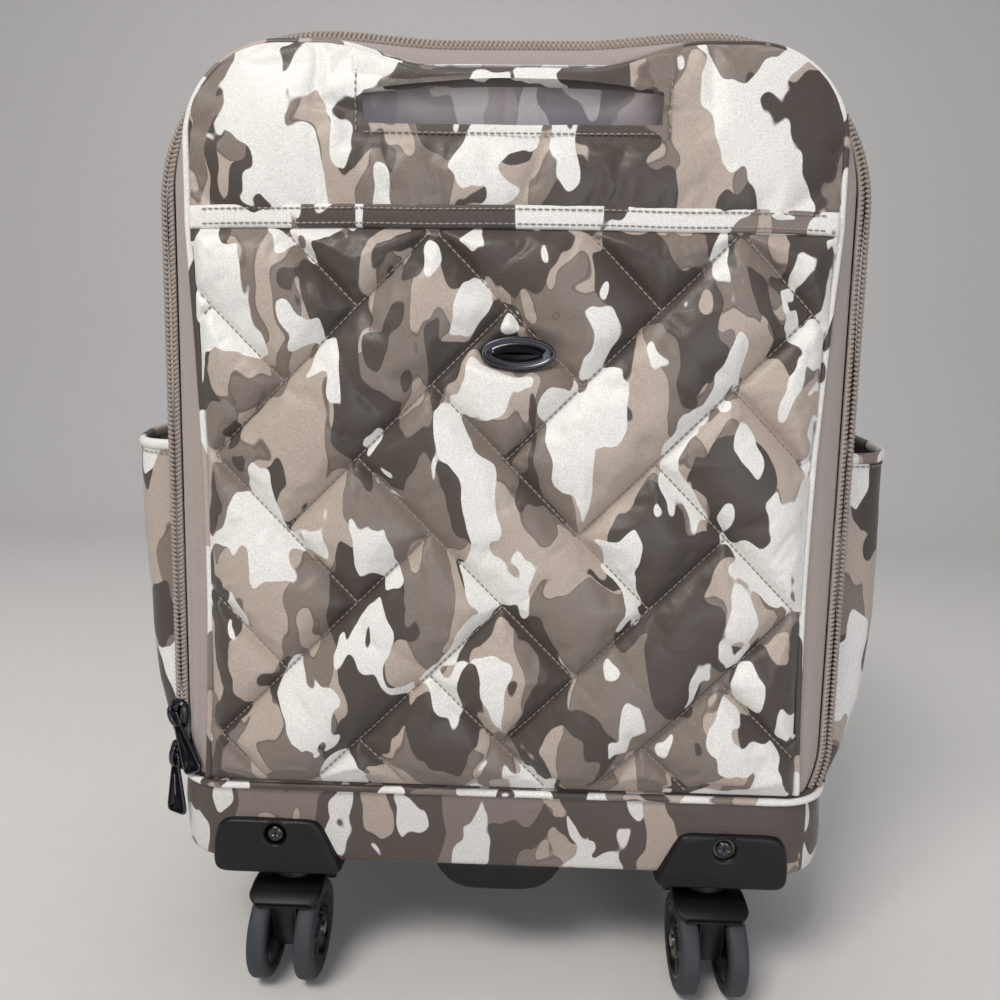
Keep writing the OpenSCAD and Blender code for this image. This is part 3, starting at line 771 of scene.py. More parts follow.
def makeFrontSeam():
    count = 460
    # piping: a round cord in a satin cover, carried round the front
    line, out, run = outlinePath(seam["inset"], seam["low"], count, seam["waist"], seam["dip"], 0, seam["square"])
    cord = ring(seam["radius"], 10)
    swell = 1 + 0.05 * ripples(run, 0 * run, 17, 6, 60, 9)
    cord = cord[None] * swell[:, None, None] + np.array([0, seam["y"]])
    makePiece("frontPiping", alongOutline(line, out, cord), gridFaces(count, 10, wrapCols=True), "front_lid",
              "camo_binding", satinTrim, replaced="lid_piping", caps=endCaps(count, 10))
    # tape from the piping back to the teeth: straight between two rails, with a slight crown
    rail, railOut, _ = outlinePath(9.4, seam["low"], count, 0, zipper["dip"], zipper["tuck"])
    t = np.linspace(0, 1, 14)[None, :, None]
    near = combine(line[:, 0], seam["y"] + 0.6, line[:, 1])
    far = combine(rail[:, 0], zipper["y"] - 2.6, rail[:, 1])
    flat = near[:, None] * (1 - t) + far[:, None] * t
    lift = 1.6 * np.sin(math.pi * t[..., 0]) * (1 + 0.25 * ripples(run, 0 * run, 29, 6, 90, 18)[:, None])
    flat = flat + lift[..., None] * combine(railOut[:, 0] * 0.4, -0.9, railOut[:, 1] * 0.4)[:, None]
    width = np.linalg.norm(far - near, axis=1)
    uv = combine(run[:, None], t[..., 0] * width[:, None])
    makePiece("zipTapeLid", flat, gridFaces(count, 14), "front_lid", "zip_tape", tapeWoven,
              replaced="zip_tape_lid", outFrom=(0, 60, 280), uv=uv, solid=0.9)


makeFrontSeam()


def makeTeeth(name, inset, y, side, body, node):
    # one half of the coil: bent bars 2.4 mm apart, each across the chain and leaning over its neighbour
    count = 434
    line, out, run = outlinePath(inset, seam["low"], count, 0, zipper["dip"], zipper["tuck"])
    turn = math.radians(zipper["lean"])
    ahead = unit(combine(np.gradient(line[:, 0]), 0 * run, np.gradient(line[:, 1])))
    outward = combine(out[:, 0], 0 * run, out[:, 1])
    back = np.array([0.0, 1.0, 0.0])
    across = outward * math.cos(turn) + back * math.sin(turn)
    up = outward * math.sin(turn) - back * math.cos(turn)
    lean = unit(across * side + ahead * 0.42)
    centre = combine(line[:, 0], y, line[:, 1])
    if side < 0:
        # the lid's half starts above the lower slider, which stays on the body
        wanted = (centre[:, 0] > 0) | (centre[:, 2] > 134.5)
        centre = (centre + ahead * 1.2)[wanted]
        across, up, lean = across[wanted], up[wanted], lean[wanted]
    shape, faces = capsule(4.0, 1.0, rings=6)
    shape[:, 2] = shape[:, 2] - 0.16 * shape[:, 0] ** 2
    bars = scatter(shape, faces, centre + up * 1.0, np.stack([lean, unit(np.cross(up, lean)), up], 1))
    # the cord that the coil is sewn round
    core = carry(centre, across, up, ring(1.25, 8, 0.8) + np.array([0.6 * side, 0.2]))
    tube = (core.reshape(-1, 3), gridFaces(len(centre), 8, wrapCols=True)[:, ::-1])
    points, faces = joined(bars, tube)
    makePiece(name, points, faces, body, "zip_coil", coilNylon, replaced=node)


makeTeeth("coilLid", 6.7, zipper["y"] - 1.05, -1, "front_lid", "zip_coil_lid")
makeTeeth("coilBody", 2.2, zipper["y"] + 1.05, 1, "shell", "zip_coil_body")
print("zip made")


gusset = {"front": bag["front"] + 15.6, "back": bag["back"] - 3.4, "bulge": 2.2, "wall": 2.4}


def makeGusset():
    # padded side and top wall: the outline carried from front to back, fuller in the middle of each stretch,
    # with soft creases; its dip fades towards the frame at the back
    count, across = 330, 46
    first, out, run = outlinePath(1.5, seam["low"], count, 0, zipper["dip"], 0)
    last, _, _ = outlinePath(1.5, seam["low"], count, 0, 0, 0)
    t = np.linspace(0, 1, across)
    y = gusset["front"] + (gusset["back"] - gusset["front"]) * t
    ease = smooth(t * 1.6)
    line = first[:, None] * (1 - ease[None, :, None]) + last[:, None] * ease[None, :, None]
    roof = smooth((np.abs(out[:, 1]) - 0.5) * 4)[:, None]
    ends = smooth((run / 30))[:, None] * smooth((run[-1] - run) / 30)[:, None]
    fold = ripples(run[:, None], y[None], 41, 8, 130, 26, 0.6)
    fat = gusset["bulge"] * (1 - (2 * t - 1) ** 4)[None] * (1 - 0.9 * roof) + 1.1 * fold * (1 - 0.85 * roof) - 1.2
    rearSeam = 2.6 * np.exp(-((t - 1) / 0.035) ** 2)[None]
    off = fat * (0.35 + 0.65 * ends) * smooth((1 - t) * 12)[None] - rearSeam
    points = combine(line[..., 0] + out[:, None, 0] * off, y, line[..., 1] + out[:, None, 1] * off)
    made = makePiece("sideAndTopWall", points, gridFaces(count, across), "shell", "camo_satin", satinSideShaded,
                     replaced="gusset_shell zip_tape_body", outFrom=(0, 10, 280), solid=gusset["wall"])
    # body half of the zip tape, folded in behind the teeth
    rail, railOut, _ = outlinePath(3.0, seam["low"], count, 0, zipper["dip"], zipper["tuck"])
    t = np.linspace(0, 1, 5)[None, :, None]
    near = combine(rail[:, 0] - railOut[:, 0] * 1.5, zipper["y"] + 1.2, rail[:, 1] - railOut[:, 1] * 1.5)
    far = combine(first[:, 0] - out[:, 0] * 1.6, gusset["front"] + 0.6, first[:, 1] - out[:, 1] * 1.6)
    flat = near[:, None] * (1 - t) + far[:, None] * t
    uv = combine(run[:, None], t[..., 0] * 4)
    makePiece("zipTapeBody", flat, gridFaces(count, 5), "shell", "zip_tape", tapeWoven, outFrom=(0, 60, 280),
              uv=uv, solid=0.8)


def tombGrid(inset, low, middle, corner, rows, dip=0.0):
    # a grid over the body's outline: columns closer round the corners, each from low up to the outline
    x = columns(inset, middle, corner)
    gx, gv = np.meshgrid(x, np.linspace(0, 1, rows))
    return gx, low + (topOf(inset, gx, dip) - low) * gv, gv


def makeBack():
    # rear fabric over a board: crowned by a sixth power law, with shallow hollows over the handle's tubes
    gx, gz, gv = tombGrid(4.2, bag["hinge"] + 0.8, 90, 16, 110)
    across = np.clip(np.abs(gx) / (bag["half"] - 4.2), 0, 1)
    rise = (1 - across ** 6) * (1 - np.abs(2 * gv - 1) ** 8)
    tubes = np.exp(-((np.abs(gx) - 70) / 9) ** 2) * smooth(gv * 6)
    y = bag["back"] - 4.4 + 2.6 * rise + 1.1 * tubes * rise + 0.45 * ripples(gx, gz, 51, 8, 150, 24)
    makePiece("backPanel", combine(gx, y, gz), gridFaces(*gx.shape), "shell", "camo_satin", satinSideShaded,
              replaced="back_panel", outFrom=(0, 0, 280), solid=2.0)


def planPath(inset, count):
    # the base's outline from above, as one closed line; returns points and outward directions
    half, front, back = bag["half"] - 2 - inset, bag["front"] + inset, bag["back"] - inset
    turn = np.linspace(0, math.pi / 2, 30)
    parts = []
    for sx, sy, y, bend in ((1, -1, front, 30 - inset), (1, 1, back, 16 - inset), (-1, 1, back, 16 - inset),
                            (-1, -1, front, 30 - inset)):
        arc = combine(sx * (half - bend + bend * np.cos(turn)), y - sy * bend + sy * bend * np.sin(turn))
        parts.append(arc if sx * sy > 0 else arc[::-1])
    line = np.concatenate(parts + [parts[0][:1]])
    line = resample(line, count + 1)[0][:-1]
    ahead = unit(np.roll(line, -1, 0) - np.roll(line, 1, 0))
    return line, combine(ahead[:, 1], -ahead[:, 0])


def makeBase():
    # satin band: the plan outline carried up a profile that bows 1.3 mm and tucks in at its foot
    count = 420
    line, out = planPath(0, count)
    profile = np.array([[-7, -0.3], [-4, -0.5], [-1.6, 0.2], [-0.3, 1.8], [0.2, 5], [0.8, 12], [1.2, 20], [1.2, 28],
                        [0.9, 35], [0.4, 40], [0.0, 43], [-0.6, 44.4], [-2.2, 44.8], [-5, 44.6]])
    fine, _ = resample(profile, 40)
    off, z = fine[:, 0], bag["base"] + fine[:, 1]
    around = np.arange(count) * 2.8
    creases = 0.55 * ripples(around[:, None], z[None], 61, 8, 120, 22) * smooth((z - bag["base"]) / 8)[None]
    off = off[None] + creases * smooth((bag["hinge"] - z) / 8)[None]
    points = combine(line[:, None, 0] + out[:, None, 0] * off, line[:, None, 1] + out[:, None, 1] * off, z)
    makePiece("baseBand", points, gridFaces(count, 40, wrapRows=True), "shell", "camo_satin", satinBand,
              replaced="base_band", outFrom=(0, 0, 92), solid=1.6)
    # piping round the top of the band and round the back panel
    cord = ring(1.7, 10) * np.array([1.0, 1.15])
    swell = (1 + 0.06 * ripples(around, 0 * around, 62, 6, 60, 9))[:, None]
    x = line[:, None, 0] + out[:, None, 0] * (cord[None, :, 0] * swell + 0.9)
    y = line[:, None, 1] + out[:, None, 1] * (cord[None, :, 0] * swell + 0.9)
    loop = combine(x, y, bag["hinge"] - 3.0 + cord[None, :, 1] * swell)
    backLine, backOut, _ = outlinePath(4.0, seam["low"], 400)
    bead = alongOutline(backLine, backOut, ring(2.2, 10) + np.array([0, bag["back"] - 2.7]))
    points, faces = joined((loop, gridFaces(count, 10, True, True)), (bead, gridFaces(400, 10, wrapCols=True)))
    last = count * 10
    makePiece("edgePiping", points, faces, "shell", "camo_binding", satinTrim, replaced="edge_piping",
              caps=endCaps(400, 10, last))


def makeLinings():
    # lining of the walls, with the cloth floor over the pan
    count, low = 220, bag["hinge"] + 1
    line, out, run = outlinePath(8.4, low, count)
    y = np.linspace(bag["front"] + 17.5, bag["back"] - 31.5, 30)
    soft = 0.8 * ripples(run[:, None], y[None], 71, 7, 140, 30)
    points = combine(line[:, None, 0] + out[:, None, 0] * soft, y, line[:, None, 1] + out[:, None, 1] * soft)
    gx, gy = np.meshgrid(np.linspace(-169, 169, 80), y)
    floor = combine(gx, gy, low - 1.5 + 0.6 * ripples(gx, gy, 72, 6, 120, 30))
    walls, wallFaces = points.reshape(-1, 3), gridFaces(count, 30)
    both, faces = joined((walls, wallFaces[:, ::-1]), (floor, gridFaces(30, 80)))
    makePiece("bodyLining", both, faces, "shell", "lining", liningCloth, replaced="lining")
    gx, gz, gv = tombGrid(10.5, low, 70, 14, 90)
    across = np.clip(np.abs(gx) / (bag["half"] - 10.5), 0, 1)
    tubes = np.exp(-((np.abs(gx) - 70) / 14) ** 4)
    y = bag["back"] - 31.2 - 0.9 * tubes + 0.5 * ripples(gx, gz, 73, 6, 150, 30) * (1 - across ** 6)
    makePiece("tubeCoverLining", combine(gx, y, gz), gridFaces(*gx.shape), "shell", "lining", liningCloth,
              replaced="tube_cover", outFrom=(0, 200, 280), solid=1.2)
    gx, gz, gv = tombGrid(12.6, bag["hinge"] + 1, 76, 16, 90, zipper["dip"])
    across = np.clip(np.abs(gx) / (bag["half"] - 12.6), 0, 1)
    y = bag["front"] + 14.0 - 0.8 * (1 - across ** 4) + 0.4 * ripples(gx, gz, 74, 7, 140, 26) * (1 - across ** 6)
    makePiece("lidLining", combine(gx, y, gz), gridFaces(*gx.shape), "front_lid", "lining", liningCloth,
              outFrom=(0, -200, 280), solid=1.0)


makeGusset()
makeBack()
makeBase()
makeLinings()
print("body fabric made")


pocket = {"front": -58.0, "back": 62.0, "foot": 176.3, "low": 80.0, "rim": 290.0, "slope": 0.167, "wall": 1.8,
          "reach": ([80, 86, 96, 120, 150, 185, 235, 285, 300, 312],          # at these heights
                    [2, 8, 16, 27, 35, 39.5, 41.5, 41, 39.5, 38])}            # it stands out so far


def makePocket(name, side, node, seed):
    # gusseted pouch: half a rounded rectangle (a superellipse of power 3.4) from the wall round to the wall at
    # each height; it fills out upwards to 40 mm, gathers in at the rim, and has long soft folds
    rows, cols = 60, 96
    v = np.linspace(0, 1, rows)[:, None]
    turn = np.linspace(0, math.pi, cols)[None]
    c, s = np.cos(turn), np.sin(turn)
    front, back = pocket["front"], pocket["back"]
    y = (front + back) / 2 - (back - front) / 2 * np.sign(c) * np.abs(c) ** 0.5
    top = pocket["rim"] + (y - front) * pocket["slope"]
    z = pocket["low"] + (top - pocket["low"]) * v
    reach = np.interp(z, *pocket["reach"])
    fold = ripples(y * 1.4 + turn * 12, z, seed, 8, 110, 20, 0.45)
    out = reach * np.abs(s) ** 0.45 + 1.7 * fold * np.abs(s) * smooth((z - 90) / 40)
    y = y + 0.9 * ripples(z, turn * 30, seed + 1, 6, 90, 25) * smooth((1 - np.abs(c)) * 3)
    x = pocket["foot"] + np.clip(out, 0.3, 43.5)
    points = combine(side * x, y, z)
    made = makePiece(name, points, gridFaces(rows, cols), "shell", "camo_satin", satinSideShaded, replaced=node,
                     outFrom=(side * 180, 2, 200), solid=pocket["wall"])
    # bound rim: a soft flattened cord along the mouth
    path = points[-1]
    up = np.array([0.0, 0.0, 1.0])
    across, above = frameAlong(path, up)
    loop = ring(2.3, 10) * np.array([0.9, 1.35])
    cord = carry(path + np.array([0, 0, -0.6]), across, above, loop)
    makePiece(name + "Binding", cord, gridFaces(cols, 10, wrapCols=True), "shell", "camo_binding", satinTrim,
              caps=endCaps(cols, 10))
    points, faces = stitchRow(path - np.array([0, 0, 5.2]) + across * 0.3 * side, across * side, lift=0.6)
    makePiece(name + "Stitches", points, faces, "shell", "camo_binding", threadTaupe)


makePocket("sidePocketLeft", -1, "pocket_left", 81)
makePocket("sidePocketRight", 1, "pocket_right", 91)
print("side pockets made")


def roundPoly(corners, bends, count):
    # a closed outline with each corner cut by a quadratic curve that starts bend away from it
    corners = np.asarray(corners, float)
    before, after = np.roll(corners, 1, 0), np.roll(corners, -1, 0)
    bends = np.broadcast_to(np.asarray(bends, float), (len(corners),))[:, None]
    a, b = (corners + unit(far - corners) * np.minimum(bends, np.linalg.norm(far - corners, axis=1)[:, None] * 0.48)
            for far in (before, after))
    t = np.linspace(0, 1, 9)[None, :, None]
    curve = a[:, None] * (1 - t) ** 2 + 2 * corners[:, None] * t * (1 - t) + b[:, None] * t ** 2
    line = curve.reshape(-1, 2)
    return resample(np.concatenate([line, line[:1]]), count + 1)[0][:-1]


def slab(outline, layers):
    # rings of one outline, each brought in along its normals by an inset at a height: (a, b, height)
    ahead = unit(np.roll(outline, -1, 0) - np.roll(outline, 1, 0))
    turn = np.sum(outline[:, 0] * np.roll(outline[:, 1], -1) - outline[:, 1] * np.roll(outline[:, 0], -1))
    inward = combine(-ahead[:, 1], ahead[:, 0]) * (1 if turn > 0 else -1)
    rings = [np.column_stack([outline + inward * inset, np.full(len(outline), height)]) for inset, height in layers]
    return np.array(rings)


def lathe(profile, count, axis=2, centre=(0, 0, 0)):
    # a profile of (radius, height) turned about an axis
    profile = np.asarray(profile, float)
    turn = np.linspace(0, 2 * math.pi, count, endpoint=False)
    a = profile[:, None, 0] * np.cos(turn)
    b = profile[:, None, 0] * np.sin(turn)
    h = np.broadcast_to(profile[:, None, 1], a.shape)
    order = {2: (a, b, h), 1: (b, h, a), 0: (h, a, b)}[axis]
    return np.stack(order, -1) + np.array(centre, float)


def closedTube(rings):
    # (points, faces) of a tube of rings; each end is closed by quads across it
    rows, cols = rings.shape[:2]
    faces = gridFaces(rows, cols, wrapCols=True)
    k = np.arange(cols // 2 - 1)
    first = np.stack([k, k + 1, cols - 2 - k, cols - 1 - k], 1)
    return rings.reshape(-1, 3), np.concatenate([faces, first, first[:, ::-1] + (rows - 1) * cols])


kingpin = {"x": 114.0, "face": 22.0, "proud": 4.0, "trail": 13.0, "screw": (4.5, 86.0), "wheel": 12.5}
kingpin["front"], kingpin["rear"] = bag["front"] + kingpin["face"], bag["back"] - kingpin["face"]


def outwards(part):
    # the same closed tube with its faces turned to look out
    points, faces = part
    middle = points[faces].mean(1)
    across = np.cross(points[faces[:, 2]] - points[faces[:, 0]], points[faces[:, 3]] - points[faces[:, 1]])
    return points, (faces if np.sum(across * middle) - np.sum(across, 0) @ points.mean(0) > 0 else faces[:, ::-1])


def makeHousings():
    # moulded corner: a rounded face plate with a bevelled edge and a sunk screw seat, a foot plate and a boss
    face = roundPoly([[-32, 64], [34.5, 64], [38, 68], [38, 80], [36, 89], [31, 94], [-16, 94], [-20.5, 90]],
                     [7, 6, 4, 6, 6, 6, 8, 7], 128)
    rings = slab(face, [(-0.6, 4.2), (-0.3, 3.2), (0.0, 2.2), (0.35, 1.0), (0.9, 0.35), (1.6, 0.0)])
    seat, depth = np.array(kingpin["screw"]), kingpin["face"] + kingpin["proud"]
    toward = unit(rings[-1][:, :2] - seat)
    extra = []
    for radius, height in ((8.2, 0.0), (6.9, 0.1), (6.2, 0.6), (5.9, 2.2), (5.6, 2.7)):
        extra.append(np.column_stack([seat + toward * radius, np.full(128, height)]))
    middle = rings[-1] * 0.5 + extra[0] * 0.5
    plate = np.concatenate([rings, middle[None], np.array(extra)])
    foot = slab(roundPoly([[-30, -25], [30, -25], [30, 22], [-30, 22]], 7, 48),
                [(1.2, 69.8), (0, 68.8), (0, 65.2), (1.2, 64.0)])
    boss = lathe([[20, 66], [20, 62], [19.2, 61.2], [18, 61]], 48)
    parts = []
    for sx in (-1, 1):
        for y, sy in ((kingpin["front"], 1), (kingpin["rear"], -1)):
            def put(local):
                return np.array([sx, sy, 1.0]) * local + np.array([sx * kingpin["x"], y, 0.0])
            swung = combine(plate[..., 0], plate[..., 2] - depth, plate[..., 1])
            for piece in (swung, foot, boss):
                parts.append(outwards(closedTube(put(piece))))
    points, faces = joined(*parts)
    makePiece("casterHousings", points, faces, "shell", "moulded_black", mouldedBlack,
              replaced="caster_housings")
    # screw: a domed head with a cross pressed into it, a third of a millimetre under the seat's rim
    polar = lathe([[4.3, 2.6], [4.3, 1.5], [3.9, 0.9], [3.0, 0.55], [2.2, 0.4], [1.5, 0.35], [0.8, 0.32],
                   [0.05, 0.3]], 32, 1)
    cross = smooth((0.62 - np.minimum(np.abs(polar[..., 0]), np.abs(polar[..., 2]))) / 0.25)
    polar[..., 1] = polar[..., 1] + 0.9 * cross * smooth((2.6 - np.hypot(polar[..., 0], polar[..., 2])) / 0.4)
    parts = []
    for sx in (-1, 1):
        for y, sy in ((kingpin["front"], 1), (kingpin["rear"], -1)):
            place = np.array([sx * (kingpin["x"] + seat[0]), y - sy * depth, seat[1]])
            parts.append(outwards(closedTube(polar * np.array([1, sy, 1]) + place)))
    points, faces = joined(*parts)
    makePiece("housingScrews", points, faces, "shell", "black_nickel", blackNickel, replaced="housing_screws")


def makeCasters():
    # fork: a hood carried round the axle over both wheels, a web between them and a turned barrel above
    turn = np.radians(np.linspace(54, 146, 36))
    loop = roundedRing(19.4, 1.7, 1.5, 5)
    # the hood's front corners are rounded off: narrower by up to a quarter towards its lower edge
    narrow = 1 - 0.26 * np.clip(np.radians(68) - turn, 0, None) ** 2 / np.radians(14) ** 2
    hood = combine(narrow[:, None] * loop[None, :, 0], -np.cos(turn)[:, None] * (28.3 + loop[None, :, 1]),
                   np.sin(turn)[:, None] * (28.3 + loop[None, :, 1])) + np.array([0, -kingpin["trail"], 25.0])
    web = roundPoly([[-27, 52], [-27, 36], [-21, 19], [-13, 15.5], [-5, 19], [3, 36], [6, 52]], 6, 48)
    rings = slab(web, [(1.0, -6.4), (0.2, -5.6), (0, 0), (0.2, 5.6), (1.0, 6.4)])
    web3 = combine(rings[..., 2], rings[..., 0], rings[..., 1])
    barrel = lathe([[13.0, 47], [15.0, 48.6], [15.2, 54], [15.0, 58.2], [14.0, 59.6], [6, 59.6]], 48)
    tread = [[18.5, -5.2], [21.8, -5.2], [23.0, -5.0], [24.0, -4.4], [24.7, -3.5], [25, -2.2], [25, 2.2],
             [24.7, 3.5], [24.0, 4.4], [23.0, 5.0], [21.8, 5.2], [18.5, 5.2]]
    centres = {"l": -kingpin["wheel"], "r": kingpin["wheel"]}
    for corner, sx, y in (("fl", -1, kingpin["front"]), ("fr", 1, kingpin["front"]),
                          ("rl", -1, kingpin["rear"]), ("rr", 1, kingpin["rear"])):
        at = np.array([sx * kingpin["x"], y, 0.0])
        points, faces = joined(*(outwards(closedTube(p + at)) for p in (hood, web3, barrel)))
        makePiece("fork_" + corner, points, faces, "fork_" + corner, "moulded_black", mouldedBlack,
                  replaced="fork_" + corner)
        for hand, off in centres.items():
            centre = at + np.array([off, -kingpin["trail"], 25.0])
            name = corner + "_" + hand
            rings = lathe(tread, 72, 0, centre)
            makePiece("tread_" + name, rings, gridFaces(len(tread), 72, True, True), "wheel_" + name,
                      "caster_tread", treadRubber, replaced="tyre_" + name)
            # hub: a turned disc whose web is sunk between six spokes: depth follows the sixth harmonic of the angle
            face = 1 if hand == "r" else -1
            profile = np.array([[3.2, -4.5], [7, -4.7], [12, -4.1], [18.6, -4.9], [18.6, 4.9], [17.6, 5.0],
                                [16.8, 4.6], [16.2, 3.8], [14, 3.6], [11, 3.6], [8.6, 3.8], [7.9, 4.6],
                                [7.0, 4.9], [5, 5.0], [3.2, 4.8]])
            hub = lathe(profile * np.array([1, face]), 72, 0)
            angle = np.linspace(0, 2 * math.pi, 72, endpoint=False)
            spoke = smooth((np.cos(6 * angle) - 0.1) * 1.6)
            inWeb = np.array([0, 0, 0, 0, 0, 0, 0, 1, 1, 1, 1, 0, 0, 0, 0])
            hub[..., 0] = hub[..., 0] - face * 1.7 * inWeb[:, None] * (1 - spoke)[None]
            makePiece("hub_" + name, hub + centre, gridFaces(len(profile), 72, True, True), "wheel_" + name,
                      "moulded_black", smoothBlack, replaced="hub_" + name)


def makeBottomGrip():
    # moulded grip under the front edge: a rounded section whose underside follows a flat-bottomed curve
    x = np.linspace(-32.6, 32.6, 44)
    low = 55.2 + 14.0 * np.abs(x / 33.4) ** 4.5
    high = 69.6
    loop = roundedRing(4.6, 1.0, 0.6, 4)
    loop[:, 1] = loop[:, 1] / np.abs(loop[:, 1]).max()
    z = (high + low)[:, None] / 2 + (high - low)[:, None] / 2 * loop[None, :, 1]
    y = bag["front"] + 7.6 + loop[None, :, 0] * np.ones((44, 1))
    bar = closedTube(combine(x[:, None], y, z))
    flange = slab(roundPoly([[-32.5, -96], [32.5, -96], [32.5, -73.2], [-32.5, -73.2]], 4, 40),
                  [(0.6, 69.8), (0, 69.2), (0, 67.8), (0.6, 67.2)])
    points, faces = joined(outwards(bar), outwards(closedTube(flange)))
    makePiece("bottomGrip", points, faces, "shell", "moulded_black", mouldedBlack, replaced="bottom_grip")


makeHousings()
makeCasters()
makeBottomGrip()
print("casters made")


slider = {"x": -173.55, "y": zipper["y"], "upper": 145.0, "lower": 122.0, "turn": -25.0, "pull": 33.0,
          "pin": -6.1}


def atZip(points, z, swing=0.0):
    # local points (across the chain, out of it, up) to the bag: swung about the pin, turned by the chain's lean
    points = np.asarray(points, float)
    pin = np.array([0.0, slider["pin"], 1.0])
    c, s = math.cos(math.radians(swing)), math.sin(math.radians(swing))
    local = points - pin
    local = combine(c * local[..., 0] + s * local[..., 2], local[..., 1],
                    -s * local[..., 0] + c * local[..., 2]) + pin
    c, s = math.cos(math.radians(slider["turn"])), math.sin(math.radians(slider["turn"]))
    return combine(c * local[..., 0] - s * local[..., 1] + slider["x"],
                   s * local[..., 0] + c * local[..., 1] + slider["y"], local[..., 2] + z)


def makeSlider(which, z, swing):
    # slider: a shield-shaped plate with turned-down sides, and a bridge over it
    shield = roundPoly([[-4.2, 8.4], [4.2, 8.4], [6.8, 3.5], [5.6, -4.5], [3.4, -7.8], [-3.4, -7.8], [-5.6, -4.5],
                        [-6.8, 3.5]], 2.6, 48)
    rings = slab(shield, [(0.6, -1.4), (0.0, -1.9), (0.0, -3.6), (0.5, -4.25), (1.6, -4.5)])
    plate = combine(rings[..., 0], rings[..., 2], rings[..., 1])
    t = np.linspace(0, math.pi, 22)
    path = combine(0 * t, -3.8 - 4.9 * np.sin(t) ** 0.6, 0.6 + 5.6 * np.cos(t))
    across, above = frameAlong(path, (1.0, 0, 0))
    bridge = carry(path, across, above, roundedRing(0.75, 1.5, 0.5, 3))
    points, faces = joined(outwards(closedTube(atZip(plate, z))), outwards(closedTube(atZip(bridge, z, swing))))
    makePiece("slider_" + which, points, faces, "slider_" + which, "black_nickel", blackNickel,
              replaced="slider_" + which)
    # pull: a looped eye, then a tapered tab with a raised round edge
    long = slider["pull"]
    tab = roundPoly([[-2.6, -4.6], [2.6, -4.6], [7.0, 3.4 - long], [6.2, 0.2 - long], [-6.2, 0.2 - long],
                     [-7.0, 3.4 - long]], [1.4, 1.4, 2.8, 2.8, 2.8, 2.8], 64)
    layers = [(1.5, 0.62), (0.5, 0.9), (0.0, 0.5), (0.0, -0.5), (0.5, -0.9), (1.5, -0.62)]
    rings = slab(tab, layers)
    body = combine(rings[..., 0], rings[..., 2] + slider["pin"], rings[..., 1] + 1.0)
    loop = roundPoly([[-2.4, 1.2], [2.4, 1.2], [2.6, -5.6], [-2.6, -5.6]], 1.6, 40)
    path = np.column_stack([loop[:, 0], np.full(40, slider["pin"]), loop[:, 1] + 0.6])
    ahead = unit(np.roll(path, -1, 0) - np.roll(path, 1, 0))
    outAxis = np.cross(ahead, [0.0, 1.0, 0.0])
    eye = carry(path, outAxis, np.broadcast_to([0.0, 1.0, 0.0], path.shape), ring(0.85, 8))
    eyePart = outwards((atZip(eye, z, swing).reshape(-1, 3), gridFaces(40, 8, True, True)))
    points, faces = joined(outwards(closedTube(atZip(body, z, swing))), eyePart)
    makePiece("pull_" + which, points, faces, "pull_" + which, "black_nickel", blackNickel,
              replaced="pull_" + which)


makeSlider("upper", slider["upper"], -25.0)
makeSlider("lower", slider["lower"], 0.0)


def makeBadge():
    # plain oval plate with a raised rim: a slab of two half circles
    low, high = boxMm("badge_plate")
    middle, half = (low + high) / 2, (high - low) / 2
    turn = np.linspace(0, 2 * math.pi, 72, endpoint=False)
    oval = combine(middle[0] + half[0] * np.cos(turn), middle[2] + half[2] * np.sin(turn))
    face = low[1] - 0.6
    rings = slab(oval, [(0.4, high[1] + 1.5), (0.0, high[1] - 0.2), (0.0, face + 0.5), (0.3, face + 0.12),
                        (0.8, face), (1.5, face + 0.05), (1.9, face + 0.45), (2.4, face + 0.5), (5.2, face + 0.25)])
    plate = closedTube(combine(rings[..., 0], rings[..., 2], rings[..., 1]))
    makePiece("badgePlate", *outwards(plate), "front_lid", "black_nickel", blackNickel, replaced="badge_plate")


trolley = {"tubeX": 70.0, "halfX": 12.0}


def tubeRings(steps, halfY, bend, side, tubeY, z):
    # a rounded ring round a handle tube for each (grow, height): scaled by 1 + grow / its half size
    half = np.array([trolley["halfX"], halfY])
    loop = roundedRing(*half, bend)
    grown = [loop * (1 + grow / half) + [side * trolley["tubeX"], tubeY] for grow, _ in steps]
    return np.array([combine(g[:, 0], g[:, 1], z + height) for g, (_, height) in zip(grown, steps)])


